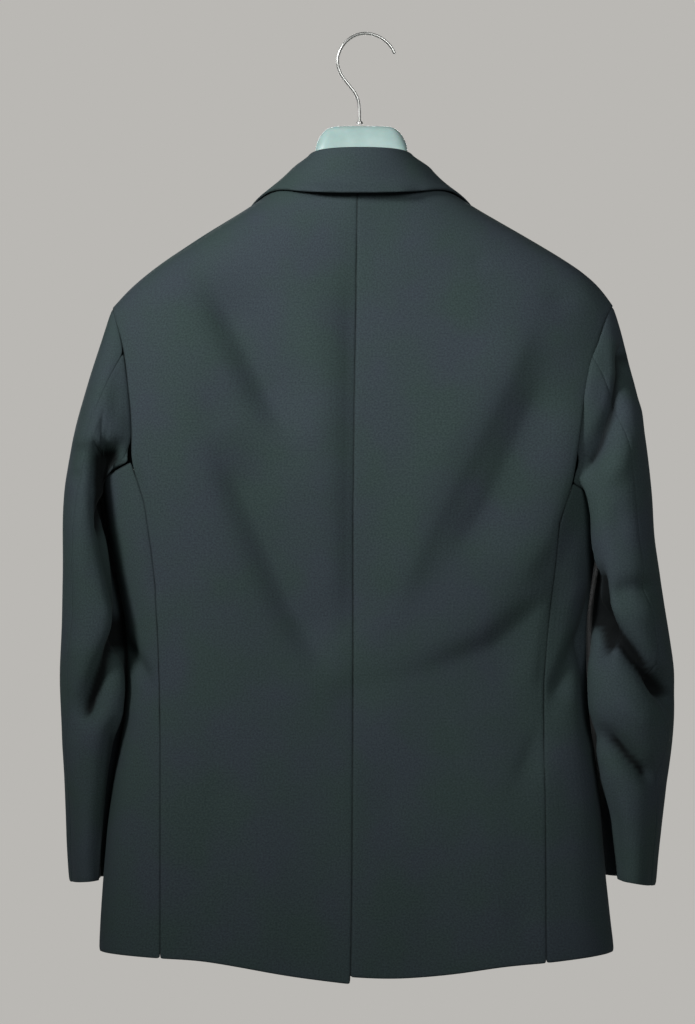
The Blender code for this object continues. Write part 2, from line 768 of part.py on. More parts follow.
def front_edge_places(side):
    downs = np.linspace(FRONT_EDGE[0].down, FRONT_EDGE[-1].down, FINE_STEPS)
    outward = along(FRONT_EDGE, "down", "outward", downs)
    line = np.stack([centre_x(downs) + side * outward, downs], axis=1)
    neck_point = [[ridge_x(side, NECK_POINT_DOWN), NECK_POINT_DOWN]]
    return np.concatenate([line, neck_point])


def make_front(side, material):
    seam = seam_places(side, FRONT_SEAM[side], FRONT_SEAM_HEM_DOWN, FRONT_SEAM[side][0].down)
    armhole_line = armhole_places(side, FRONT_TOP, STATIONS)
    right = np.concatenate([seam, armhole_line[1:]])
    right[SEAM_ROWS] = armhole_line[0]
    left = resample(front_edge_places(side), fractions(right))
    bottom_x = np.linspace(left[0, 0], right[0, 0], PANEL_COLUMNS + 1)
    bottom_down = np.linspace(left[0, 1], right[0, 1], PANEL_COLUMNS + 1)
    bottom = np.stack([bottom_x, bottom_down], axis=1)
    top = shoulder_places(side, PANEL_COLUMNS + 1)
    places = filled(bottom, top, left, right)
    lift = front_lift(side, places[..., 0], places[..., 1])
    edges = ["last_column", "last_row"]
    return panel(f"front_{SIDE_NAMES[side]}", side, places, "front", lift, material, edges)


def laid_on_front(side, places, lift):
    """Points and outward directions over places on a front, lifted off it."""
    x = places[..., 0]
    down = places[..., 1]
    beyond = side * (x - centre_x(down)) < 0
    turns = np.where(beyond, turn_of(-side, x, down, "front"), turn_of(side, x, down, "front"))
    own, own_normals = body_with_normals(side, turns, down)
    across, across_normals = body_with_normals(-side, turns, down)
    points = np.where(beyond[..., None], across, own)
    normals = np.where(beyond[..., None], across_normals, own_normals)
    raised = front_lift(side, x, down) + lift
    return points + normals * raised[..., None], normals


def make_lapel(side, material):
    part = np.linspace(0, 1, LAPEL_COLUMNS + 1)
    rows = []
    for row in LAPEL:
        outward = row.roll_out + (row.edge_out - row.roll_out) * part
        down = row.roll_down + (row.edge_down - row.roll_down) * part
        down = down - row.bow * np.sin(math.pi * part)
        rows.append(np.stack([centre_x(down) + side * outward, down], axis=1))
    places = np.array(rows)
    outer, normals = laid_on_front(side, places, LAPEL_GAP + WALL)
    return wall(f"lapel_{SIDE_NAMES[side]}", outer, outer - normals * WALL, material)


def collar_section(side, section):
    """Middle line of the collar's wall at one section, from the fall's edge over to the foot."""
    turn = math.radians(section.edge_turn)
    down = np.array(float(section.edge_down))
    edge, normal = body_with_normals(side, np.array(turn), down)
    edge = edge + normal * (COLLAR_LIFT - COLLAR_WALL / 2)
    fold_x = COLLAR_CENTRE_X + side * section.fold_out
    foot_x = COLLAR_CENTRE_X + side * section.foot_out
    radius = COLLAR_FOLD_RADIUS
    fold = np.array([fold_x, section.fold_y, -section.fold_down - COLLAR_WALL / 2 - radius])
    foot = np.array([foot_x, section.foot_y, -section.foot_down])
    outward = edge - fold
    outward[2] = 0
    outward = unit(outward)
    up = np.array([0, 0, 1.0])
    fall_top = fold + outward * radius
    part = np.linspace(0, 1, COLLAR_FALL_STEPS + 1)[:-1, None]
    bulge = unit(outward + up) * section.bulge
    fall = edge + (fall_top - edge) * part + bulge * np.sin(math.pi * part)
    angle = np.linspace(0, math.pi, COLLAR_ROLL_STEPS + 1)[:, None]
    roll = fold + radius * (np.cos(angle) * outward + np.sin(angle) * up)
    part = np.linspace(0, 1, COLLAR_STAND_STEPS + 1)[1:, None]
    stand = roll[-1] + (foot - roll[-1]) * part
    return np.concatenate([fall, roll, stand])


def grid_normals(grid, closed_around=False):
    """Directions square to a grid of points."""
    if closed_around:
        around = np.roll(grid, -1, axis=0) - np.roll(grid, 1, axis=0)
    else:
        around = np.gradient(grid, axis=0)
    down = np.gradient(grid, axis=1)
    return unit(np.cross(around, down))


def make_collar(material):
    right = [collar_section(RIGHT, section) for section in COLLAR]
    left = [collar_section(LEFT, section) for section in COLLAR]
    middle = (left[0] + right[0]) / 2
    grid = np.array(left[:0:-1] + [middle] + right[1:])
    fall = grid[:, :COLLAR_FALL_STEPS]
    grid[:, :COLLAR_FALL_STEPS] = clear_of_body(fall, COLLAR_CLEARANCE)
    normals = grid_normals(grid)
    half = COLLAR_WALL / 2
    return wall("collar", grid + normals * half, grid - normals * half, material)


def sleeve_turns(side, down):
    """Turn of every station at given levels, in degrees, with the seams on their own lines."""
    hind = along(SLEEVES[side], "down", "hind", down)
    fore = along(SLEEVES[side], "down", "fore", down)
    under_count = FORE_STATION - HIND_STATION
    top_count = STATIONS - under_count
    turns = np.zeros((STATIONS, len(down)))
    for i in range(STATIONS):
        station = (HIND_STATION + i) % STATIONS
        if i <= under_count:
            turns[station] = hind + (fore - hind) * i / under_count
        else:
            turns[station] = fore + (360 + hind - fore) * (i - under_count) / top_count
    return turns


def sleeve_ring(side, turns, down):
    """Points of level rings of a sleeve, by turn and level."""
    outer = along(SLEEVES[side], "down", "outer", down)
    inner = along(SLEEVES[side], "down", "inner", down)
    middle_y = along(SLEEVES[side], "down", "middle_y", down)
    half_depth = along(SLEEVES[side], "down", "half_depth", down)
    power = 2 / SLEEVE_SQUARENESS
    angle = np.radians(turns)
    reach = (outer - inner) / 2
    x = (outer + inner) / 2 + reach * signed_power(np.cos(angle), power)
    y = middle_y - half_depth * signed_power(np.sin(angle), power)
    return np.stack([x, y, -down * np.ones_like(x)], axis=-1)


def sleeve_rise(side, turns, down):
    rise = np.zeros_like(down)
    for fold in SLEEVE_FOLDS[side]:
        start = (fold.from_turn * SLEEVE_MM_PER_DEGREE, fold.from_down)
        end = (fold.to_turn * SLEEVE_MM_PER_DEGREE, fold.to_down)
        distance = segment_distance(turns % 360 * SLEEVE_MM_PER_DEGREE, down, start, end)
        rise += fold.rise * np.exp(-((distance / fold.half_width) ** 2))
    return rise


def sleeve_surface(side):
    """Outer and inner points of a whole sleeve, by station and row from armhole to cuff."""
    turn, down = armhole(side)
    seam, seam_normals = body_with_normals(side, turn, down)
    direction = unit(np.roll(seam, -1, axis=0) - np.roll(seam, 1, axis=0))
    into_hole = unit(np.cross(seam_normals, direction)) * side
    start = seam + into_hole * SEAM_GAP / 2
    first_down = SLEEVES[side][0].down
    ring_turns = sleeve_turns(side, np.array([float(first_down)]))[:, 0]
    ring = sleeve_ring(side, ring_turns, np.full(STATIONS, float(first_down)))
    chord = np.linalg.norm(ring - start, axis=1, keepdims=True)
    under = ((1 - np.cos(np.radians(ring_turns))) / 2)[:, None]
    rear = np.sin(np.radians(ring_turns))[:, None]
    out = side * (CAP_OUTWARD + CAP_UNDER_OUTWARD * under)
    fall = CAP_UNDER_LIFT * under - CAP_FALL
    leave = np.concatenate([out, -CAP_REARWARD * rear, fall], axis=1)
    leave = unit(leave) * chord * (1 - CAP_UNDER_SHORTENING * under)
    arrive = np.array([0, 0, -1.0]) * chord
    rows = []
    row_turns = []
    for part in (np.arange(CAP_ROWS) / CAP_ROWS) ** CAP_CROWDING:
        rows.append(
            start * (1 + 2 * part) * (1 - part) ** 2
            + leave * part * (1 - part) ** 2
            + ring * part**2 * (3 - 2 * part)
            + arrive * part**2 * (part - 1)
        )
        row_turns.append(ring_turns)
    for level in np.linspace(first_down, CUFF_DOWN[side], SLEEVE_ROWS + 1):
        turns = sleeve_turns(side, np.array([level]))[:, 0]
        slope = CUFF_SLOPE[side] * ease((level - VENT_DOWN) / (CUFF_DOWN[side] - VENT_DOWN))
        levels = level + slope * np.cos(np.radians(turns))
        rows.append(sleeve_ring(side, turns, levels))
        row_turns.append(turns)
    grid = np.stack(rows, axis=1)
    turns = np.stack(row_turns, axis=1)
    rise = sleeve_rise(side, turns, -grid[..., 2])
    settle = ease(np.arange(grid.shape[1]) / SETTLING_ROWS)[None, :]
    outward = grid_normals(grid, closed_around=True) * side
    grid = grid + outward * (rise * settle)[..., None]
    clearance = SLEEVE_CLEARANCE * settle
    moved = clear_of_body(grid, clearance)
    grid[:, 1:] = moved[:, 1:]
    outward = grid_normals(grid, closed_around=True) * side
    inner = grid - outward * WALL
    inner[:, 0] = grid[:, 0] - seam_normals * WALL
    return grid, inner


def open_vent(outer, inner, edge):
    """Parts the two sleeves along the cuff's vent."""
    down = -outer[0, :, 2]
    gap = SEAM_GAP / 2 + VENT_GAP * ease((down - VENT_DOWN) / VENT_OPENING)
    along_edge = outer[0] if edge == "first_column" else outer[-1]
    inside = outer[1] if edge == "first_column" else outer[-2]
    toward = unit(inside - along_edge)
    at = 0 if edge == "first_column" else -1
    outer[at] = outer[at] + toward * gap[:, None]
    inner[at] = inner[at] + toward * gap[:, None]


def make_sleeve(side, material):
    outer, inner = sleeve_surface(side)
    under = np.arange(HIND_STATION, FORE_STATION + 1)
    upper = np.arange(FORE_STATION, HIND_STATION + STATIONS + 1) % STATIONS
    halves = (("under", under, "first_column"), ("top", upper, "last_column"))
    for name, stations, vent_edge in halves:
        piece_outer = outer[stations].copy()
        piece_inner = inner[stations].copy()
        fore_at, fore_inside = (-1, -2) if name == "under" else (0, 1)
        toward = unit(piece_outer[fore_inside] - piece_outer[fore_at])
        piece_outer[fore_at] += toward * SEAM_GAP / 2
        piece_inner[fore_at] += toward * SEAM_GAP / 2
        open_vent(piece_outer, piece_inner, vent_edge)
        wall(f"{name}_sleeve_{SIDE_NAMES[side]}", piece_outer, piece_inner, material)


def make_underlap(material):
    downs = np.linspace(UNDERLAP_BOTTOM_DOWN, UNDERLAP_TOP_DOWN, UNDERLAP_ROWS + 1)
    part = np.linspace(0, 1, 4)
    outward = -UNDERLAP_LEFT_OUT + (UNDERLAP_LEFT_OUT + UNDERLAP_RIGHT_OUT) * part
    x = centre_x(downs)[None, :] + outward[:, None]
    down = np.broadcast_to(downs[None, :], x.shape)
    left, left_normals = body_with_normals(LEFT, turn_of(LEFT, x, down, "back"), down)
    right, right_normals = body_with_normals(RIGHT, turn_of(RIGHT, x, down, "back"), down)
    on_left = (x < centre_x(down))[..., None]
    points = np.where(on_left, left, right)
    normals = np.where(on_left, left_normals, right_normals)
    outer = points - normals * (WALL + LAID_GAP)
    return wall("vent_underlap", outer, outer - normals * WALL, material)


def make_button(number, down, material):
    place = np.array([[[float(centre_x(down)), float(down)]]])
    seat, normal = laid_on_front(LEFT, place, np.array(LAID_GAP))
    seat = seat[0, 0]
    normal = normal[0, 0]
    across = unit(np.cross(normal, [0, 0, 1.0]))
    up = np.cross(across, normal)
    angles = np.linspace(0, 2 * math.pi, BUTTON_SIDES, endpoint=False)[:, None]
    circle = np.cos(angles) * across + np.sin(angles) * up
    rings = [seat + circle * ring.radius + normal * ring.height for ring in BUTTON]
    return rings_to_solid(f"front_button_{number}", rings, material)


def hanger_sections():
    """Hanger sections from its middle out: distance out, level of the top, height and half depth."""
    sections = {LEFT: list(HUB), RIGHT: list(HUB)}
    reach = HANGER_SLOPE_REACH
    for side in (LEFT, RIGHT):
        levels = np.linspace(NECK_POINT_DOWN, SHOULDER_POINT_DOWN[side], FINE_STEPS)
        ridge = np.abs(ridge_x(side, levels) - HANGER_CENTRE_X)
        for out in HANGER_ARM_OUTS:
            level = np.interp(out, ridge, levels)
            before, after = np.interp([out - reach, out + reach], ridge, levels)
            square = math.hypot(1, (after - before) / (2 * reach))
            top = level + (WALL + HANGER_SEAT_GAP) * square
            part = ease((out - HANGER_TAPER_OUT) / (HANGER_ARM_OUTS[-1] - HANGER_TAPER_OUT))
            height = HANGER_ARM_HEIGHT + (HANGER_TIP_HEIGHT - HANGER_ARM_HEIGHT) * part
            depth = HANGER_ARM_HALF_DEPTH + (HANGER_TIP_HALF_DEPTH - HANGER_ARM_HALF_DEPTH) * part
            if out == HANGER_ARM_OUTS[-1]:
                top += HANGER_END_DROP
                height -= HANGER_END_LESS_HEIGHT
                depth -= HANGER_END_LESS_DEPTH
            sections[side].append(HangerSection(out, top, height, depth))
    return sections


def make_hanger(material):
    sections = hanger_sections()
    angles = np.linspace(0, 2 * math.pi, HANGER_SIDES, endpoint=False)
    power = 2 / HANGER_SQUARENESS
    rings = []
    ordered = [(LEFT, s) for s in sections[LEFT][:0:-1]] + [(RIGHT, s) for s in sections[RIGHT]]
    for side, section in ordered:
        x = HANGER_CENTRE_X + side * section.out
        middle = section.top_down + section.height / 2
        y = section.half_depth * signed_power(np.cos(angles), power)
        z = -middle + section.height / 2 * signed_power(np.sin(angles), power)
        rings.append(np.stack([np.full(HANGER_SIDES, x), y, z], axis=1))
    return rings_to_solid("hanger_body", rings, material)


def make_hook(material):
    rows = np.array([[point.x, 0, -point.down] for point in HOOK], float)
    before = np.vstack([2 * rows[0] - rows[1], rows[:-1]])
    after = np.vstack([rows[1:], 2 * rows[-1] - rows[-2]])
    slopes = (after - before) / 2
    fine = []
    for i in range(len(rows) - 1):
        for part in np.linspace(0, 1, HOOK_CURVE_STEPS, endpoint=False):
            fine.append(
                rows[i] * (1 + 2 * part) * (1 - part) ** 2
                + slopes[i] * part * (1 - part) ** 2
                + rows[i + 1] * part**2 * (3 - 2 * part)
                + slopes[i + 1] * part**2 * (part - 1)
            )
    fine = np.array(fine + [rows[-1]])
    length = np.linalg.norm(np.diff(fine, axis=0), axis=1).sum()
    points = resample(fine, np.linspace(0, 1, int(length / HOOK_STEP) + 1))
    curve = bpy.data.curves.new("hanger_hook", "CURVE")
    curve.dimensions = "3D"
    curve.bevel_depth = WIRE_RADIUS * MM
    curve.bevel_resolution = 2
    curve.use_fill_caps = True
    spline = curve.splines.new("POLY")
    spline.points.add(len(points) - 1)
    for target, point in zip(spline.points, points):
        target.co = (*(point * MM), 1)
    curve.materials.append(material)
    hook = bpy.data.objects.new("hanger_hook", curve)
    bpy.context.scene.collection.objects.link(hook)
    return hook


def make_ferrule(material):
    bm = bmesh.new()
    corners = [
        (FERRULE_INNER, FERRULE_TOP_DOWN),
        (FERRULE_OUTER - FERRULE_CHAMFER, FERRULE_TOP_DOWN),
        (FERRULE_OUTER, FERRULE_TOP_DOWN + FERRULE_CHAMFER_HEIGHT),
        (FERRULE_OUTER, FERRULE_BOTTOM_DOWN),
        (FERRULE_INNER, FERRULE_BOTTOM_DOWN),
    ]
    x = HOOK[-1].x
    profile = [bm.verts.new(((x + radius) * MM, 0, -down * MM)) for radius, down in corners]
    edges = [bm.edges.new((a, b)) for a, b in zip(profile, profile[1:] + profile[:1])]
    bmesh.ops.spin(
        bm,
        geom=profile + edges,
        cent=(x * MM, 0, 0),
        axis=(0, 0, 1),
        angle=2 * math.pi,
        steps=FERRULE_SIDES,
        use_merge=True,
    )
    return new_object("hook_ferrule", bm, material, sharp_degrees=30)


def clear_scene():
    for obj in list(bpy.data.objects):
        bpy.data.objects.remove(obj)


def main():
    clear_scene()
    wool = principled("Charcoal green worsted wool", (0.036, 0.050, 0.054), 0.85)
    horn = principled("Black button resin", (0.012, 0.013, 0.013), 0.35)
    plastic = principled("Pale mint moulded plastic", (0.47, 0.64, 0.61), 0.4)
    steel = principled("Bright steel wire", (0.62, 0.62, 0.60), 0.3, metallic=1.0)
    for side in (LEFT, RIGHT):
        make_back(side, wool)
        make_side_panel(side, wool)
        make_front(side, wool)
        make_lapel(side, wool)
        make_sleeve(side, wool)
    make_underlap(wool)
    make_collar(wool)
    for number, down in enumerate(BUTTON_DOWNS, start=1):
        make_button(number, down, horn)
    make_hanger(plastic)
    make_hook(steel)
    make_ferrule(steel)


main()
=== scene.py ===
# %% [markdown]
# # A tailored jacket on its hanger, seen from behind
# The solids of the jacket already have its size and its cut. This lesson turns them into
# cloth: it softens each panel, presses its seams, lays in the folds and weaves a material.

# %% Load the frame
import math
from collections import Counter, namedtuple

import bmesh
import bpy
import numpy as np
from mathutils import Matrix, Vector, noise
from mathutils.kdtree import KDTree


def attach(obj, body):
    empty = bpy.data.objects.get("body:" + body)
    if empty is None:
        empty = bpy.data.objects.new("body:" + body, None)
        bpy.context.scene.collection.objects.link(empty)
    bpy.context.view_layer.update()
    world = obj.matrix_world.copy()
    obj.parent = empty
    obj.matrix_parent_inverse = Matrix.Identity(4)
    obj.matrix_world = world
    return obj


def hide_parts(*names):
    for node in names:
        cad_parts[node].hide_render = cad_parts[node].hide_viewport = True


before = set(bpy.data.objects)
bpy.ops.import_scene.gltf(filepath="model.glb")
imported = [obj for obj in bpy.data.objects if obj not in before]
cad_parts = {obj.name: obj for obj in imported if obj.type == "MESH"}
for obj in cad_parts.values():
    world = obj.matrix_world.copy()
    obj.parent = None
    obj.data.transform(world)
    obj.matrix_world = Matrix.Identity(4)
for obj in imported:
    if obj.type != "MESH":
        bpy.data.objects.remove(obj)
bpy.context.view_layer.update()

# %% [markdown]
# ## Sizes
# Places on the jacket are given as a tailor would chalk them: across from the middle and
# down from the nail that the hook hangs on, in millimetres. The photograph has 0.936 mm to
# each of its pixels.

# %% Units and sides
MM = 0.001
LEFT, RIGHT = "left", "right"
PHOTO_WIDTH, PHOTO_HEIGHT = 695, 1024
MM_PER_PIXEL = 0.936
NAIL_PIXEL = (362.5, 35.0)
print(f"the photograph shows {PHOTO_WIDTH * MM_PER_PIXEL:.0f} mm across")


def ease(value):
    """0 below zero, 1 above one and a smooth rise between."""
    value = np.clip(value, 0, 1)
    return value * value * (3 - 2 * value)


# %% [markdown]
# ## From a coarse wall to cloth
# Each panel of the source is a closed wall of flat triangles. Cloth has no flat cells and no
# knife edges, so the triangles are joined into a net of quads, the wall's hard edges are
# bevelled as a turned edge is pressed, and a subdivision surface rounds the rest. A cloth
# simulation could drape it too, but the cut is known, so placing the folds one by one keeps
# them where they are on the real jacket.

# %% Find the hard edges of a wall
HARD_DEGREES = 50
MERGED = 0.02 * MM
JOINED_DEGREES = 60
SQUARE_DEGREES = 75


def merged_copy(node):
    """The node's own mesh as a net of quads."""
    bm = bmesh.new()
    bm.from_mesh(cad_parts[node].data)
    bmesh.ops.remove_doubles(bm, verts=bm.verts, dist=MERGED)
    bmesh.ops.join_triangles(
        bm,
        faces=bm.faces,
        angle_face_threshold=math.radians(JOINED_DEGREES),
        angle_shape_threshold=math.radians(SQUARE_DEGREES),
    )
    bmesh.ops.recalc_face_normals(bm, faces=bm.faces)
    return bm


def wall_regions(bm):
    """A number for each face: the wall's outside, its inside and the strips of its rim."""
    hard = set()
    for edge in bm.edges:
        if edge.is_manifold and edge.calc_face_angle() > math.radians(HARD_DEGREES):
            hard.add(edge)
    region = {}
    for number, first in enumerate(bm.faces):
        if first in region:
            continue
        region[first] = number
        waiting = [first]
        while waiting:
            face = waiting.pop()
            for edge in face.edges:
                if edge in hard:
                    continue
                for other in edge.link_faces:
                    if other not in region:
                        region[other] = number
                        waiting.append(other)
    return region


def hard_edges(bm):
    """Edges that part the wall's outside, inside and rim."""
    region = wall_regions(bm)
    return [e for e in bm.edges if len({region[f] for f in e.link_faces}) > 1]


# %% [markdown]
# ## Seams that meet
# The solids stand a hair apart, so that they never touch. A sewn seam shows no gap, so each
# panel's rim moves out by less than half a millimetre. How far a point is from the nearest
# hard edge is kept for later, because the dip of a seam and the painted shade along it both
# follow it. The distance is measured here, on the coarse net, where the edge is still sharp.

# %% Close the seams and measure from them
SEAM_CLOSING = 0.4 * MM


def close_seams(bm):
    """Moves the rim out, so that neighbouring panels meet."""
    region = wall_regions(bm)
    sizes = Counter(region.values())
    faces_of_cloth = {number for number, count in sizes.most_common(2)}
    bm.normal_update()
    moves = {}
    for face, number in region.items():
        if number in faces_of_cloth:
            continue
        for vert in face.verts:
            moves[vert] = moves.get(vert, Vector()) + face.normal
    for vert, move in moves.items():
        vert.co += move.normalized() * SEAM_CLOSING


def rim_tree(bm):
    """A search tree of points every millimetre along the wall's hard edges."""
    points = []
    for edge in hard_edges(bm):
        start, end = (vert.co for vert in edge.verts)
        steps = max(1, round(edge.calc_length() / MM))
        points += [start.lerp(end, i / steps) for i in range(steps + 1)]
    tree = KDTree(len(points))
    for i, point in enumerate(points):
        tree.insert(point, i)
    tree.balance()
    return tree


# %% [markdown]
# ## Turned edges
# A cut edge of cloth is turned in and pressed, so it is soft, not sharp. A narrow bevel on
# the hard edges holds them in place while the subdivision surface rounds all the rest. The
# result is kept as plain geometry, so that its points can be moved one by one.

# %% Bevel, subdivide and keep the result
def bevel_edges(bm, offset, segments):
    """Bevels a net's hard edges."""
    bmesh.ops.bevel(
        bm,
        geom=hard_edges(bm),
        offset=offset,
        offset_type="OFFSET",
        affect="EDGES",
        segments=segments,
        profile=0.5,
        clamp_overlap=True,
        material=-1,
    )


def new_object(bm, name):
    """The net as an object of the scene."""
    mesh = bpy.data.meshes.new(name)
    bm.to_mesh(mesh)
    bm.free()
    obj = bpy.data.objects.new(name, mesh)
    bpy.context.scene.collection.objects.link(obj)
    return obj


def keep_modified(obj):
    """Puts the mesh that the object's modifiers make in place of its own."""
    graph = bpy.context.evaluated_depsgraph_get()
    made = bpy.data.meshes.new_from_object(obj.evaluated_get(graph))
    obj.modifiers.clear()
    net = obj.data
    obj.data = made
    bpy.data.meshes.remove(net)
    made.name = obj.name
    return made


def rounded(bm, name, levels):
    """A new object with the net subdivided, as plain geometry."""
    obj = new_object(bm, name)
    smoothing = obj.modifiers.new("Smooth", "SUBSURF")
    smoothing.levels = levels
    smoothing.render_levels = levels
    keep_modified(obj).shade_smooth()
    return obj


def points_of(mesh):
    points = np.empty(len(mesh.vertices) * 3, np.float32)
    mesh.vertices.foreach_get("co", points)
    return points.reshape(-1, 3).astype(float)


def put_points(mesh, points):
    mesh.vertices.foreach_set("co", points.astype(np.float32).ravel())
    mesh.update()


# %% [markdown]
# ## Which way is out
# A fold lifts the outside and the inside of the cloth together, so both need one direction.
# For the body it is square to an oval round the middle. For a sleeve it is square to an oval
# round that sleeve's own axis, which is read from the solid at each level.

# %% Ovals of the body and of the sleeves
BODY_OVAL = (236, 70)
BODY_CENTRE_X = -9
AXIS_STEP = 12 * MM
AXIS_ENDS = 20 * MM
AXIS_REACH = 30 * MM
OVAL_SQUARENESS = 1.4
ARC_STEPS = 1440

Oval = namedtuple("Oval", "centre_x centre_y half_x half_y")
print("the body's oval, in millimetres either way:", BODY_OVAL)


def body_oval(points):
    count = len(points)
    return Oval(
        np.full(count, BODY_CENTRE_X * MM),
        np.zeros(count),
        np.full(count, BODY_OVAL[0] * MM),
        np.full(count, BODY_OVAL[1] * MM),
    )


def sleeve_oval(side, points):
    """The sleeve's oval at each point's level, read from both of its halves."""
    solid = []
    for node in (f"top_sleeve_{side}", f"under_sleeve_{side}"):
        solid.append(points_of(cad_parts[node].data))
    solid = np.vstack(solid)
    heights = solid[:, 2]
    levels = np.arange(heights.min() + AXIS_ENDS, heights.max() - AXIS_ENDS, AXIS_STEP)
    rows = []
    for level in levels:
        near = solid[np.abs(heights - level) < AXIS_REACH]
        low, high = near.min(axis=0), near.max(axis=0)
        rows.append([(low[0] + high[0]) / 2, (low[1] + high[1]) / 2, *(high - low)[:2] / 2])
    rows = np.array(rows)
    return Oval(*(np.interp(points[:, 2], levels, column) for column in rows.T))


def outward(points, oval):
    """Directions square to each point's oval, which is a little squarer than an ellipse."""
    across = (points[:, 0] - oval.centre_x) / oval.half_x
    deep = (points[:, 1] - oval.centre_y) / oval.half_y
    x = np.sign(across) * np.abs(across) ** OVAL_SQUARENESS / oval.half_x
    y = np.sign(deep) * np.abs(deep) ** OVAL_SQUARENESS / oval.half_y
    length = np.maximum(np.hypot(x, y), 1e-9)
    return np.stack([x / length, y / length, np.zeros_like(x)], axis=1)


# %% [markdown]
# ## The folds
# A jacket on a hanger folds where it is held and where it hangs slack: below the shoulder
# blades, under the arms, at the elbows and in towards the side seams. Each fold is a soft
# trough or ridge along a line that was measured on the photograph. It has a width of its own
# on either side, because cloth hangs steep on one side of a fold and slack on the other, and
# it fades towards its ends. No two are alike in length, depth or width. The front isn't in
# the photograph, so it gets a few plain ones.

# %% Folds of the body
Fold = namedtuple("Fold", "face line rise left right")
BODY_FOLDS = [
    # The left back falls into the centre back seam, the right one rises slowly from it.
    Fold("back", [(-8, 205), (-9, 260), (-9, 400), (-10, 510), (-11, 600)], -4.4, 13, 60),
    Fold("back", [(-48, 236), (-44, 330), (-42, 420)], 1.4, 20, 16),
    # Slack below the left shoulder blade, in two long troughs
    Fold("back", [(-152, 212), (-113, 285), (-88, 335), (-56, 388)], -15, 18, 40),
    Fold("back", [(-196, 262), (-166, 330), (-140, 372)], 1.6, 18, 22),
    Fold("back", [(-140, 366), (-94, 466), (-67, 529), (-38, 579), (-16, 604)], -13, 18, 40),
    Fold("back", [(-156, 470), (-124, 560), (-96, 612)], 1.5, 24, 20),
    # The right blade: two ridges with a trough between them
    Fold("back", [(158, 262), (130, 326), (90, 404), (56, 468), (26, 540)], 4.0, 28, 15),
    Fold("back", [(176, 312), (146, 380), (118, 440), (80, 500)], -5.0, 15, 26),
    Fold("back", [(208, 330), (190, 408), (168, 470), (132, 522)], 4.4, 24, 15),
    Fold("back", [(90, 217), (124, 211)], -1.4, 10, 10),
    Fold("back", [(176, 230), (190, 268)], -1.6, 13, 13),
    # The right back rolls off below the blade and stays low.
    Fold("back", [(196, 478), (172, 534), (122, 574), (66, 596), (6, 612)], -11.5, 16, 100),
    Fold("back", [(186, 500), (176, 560), (168, 622)], -2.6, 8, 14),
    Fold("back", [(-12, 684), (22, 716), (52, 756)], -1.8, 14, 30),
    Fold("back", [(-58, 641), (-50, 700)], 1.4, 34, 34),
    # Pull along the side seams
    Fold("back", [(-211, 404), (-199, 460), (-191, 530)], -2.6, 6, 6),
    Fold("back", [(-224, 560), (-212, 584), (-197, 608)], -6.0, 6, 7),
    Fold("back", [(-214, 612), (-206, 650)], 1.6, 9, 9),
    Fold("back", [(214, 548), (198, 584), (178, 628)], -7.0, 9, 11),
    Fold("back", [(170, 640), (156, 676), (140, 706)], -2.6, 9, 16),
    Fold("back", [(212, 500), (200, 536)], 1.8, 9, 9),
    # The skirt's slow waves
    Fold("back", [(-144, 682), (-130, 738)], -2.2, 11, 20),
    Fold("back", [(-92, 730), (-84, 880)], 1.4, 24, 20),
    Fold("back", [(-158, 740), (-150, 870)], -1.0, 18, 18),
    Fold("back", [(10, 760), (16, 880)], 1.2, 20, 16),
    Fold("back", [(62, 770), (66, 880)], -1.2, 16, 24),
    Fold("back", [(118, 720), (122, 800)], 1.2, 22, 14),
    Fold("back", [(134, 800), (156, 846)], -2.2, 11, 18),
    Fold("back", [(196, 740), (202, 860)], 1.0, 16, 12),
    # The hidden fronts
    Fold("front", [(-196, 300), (-172, 380), (-160, 450)], -3.0, 13, 13),
    Fold("front", [(192, 310), (170, 384), (156, 446)], -3.4, 14, 14),
    Fold("front", [(-30, 560), (-92, 592), (-150, 606)], -2.6, 11, 11),
    Fold("front", [(-36, 536), (-96, 540), (-138, 532)], -1.8, 9, 9),
    Fold("front", [(14, 566), (76, 600), (140, 622)], -3.0, 12, 12),
    Fold("front", [(18, 540), (70, 536), (120, 522)], -2.0, 10, 10),
    Fold("front", [(-120, 690), (-132, 850)], 1.8, 22, 22),
    Fold("front", [(112, 700), (126, 850)], 2.0, 24, 24),
    Fold("front", [(-150, 700), (-160, 840)], -1.6, 14, 14),
    Fold("front", [(156, 690), (166, 850)], -1.4, 16, 16),
    Fold("front", [(-96, 470), (-116, 420), (-140, 380)], 1.6, 14, 14),
    Fold("front", [(94, 476), (112, 426), (142, 384)], 1.8, 15, 15),
]

# The middle of the collar's edge stands a little off the back.
COLLAR_FOLDS = [
    Fold("back", [(-60, 151), (0, 153), (56, 151)], 8, 10, 10),
]

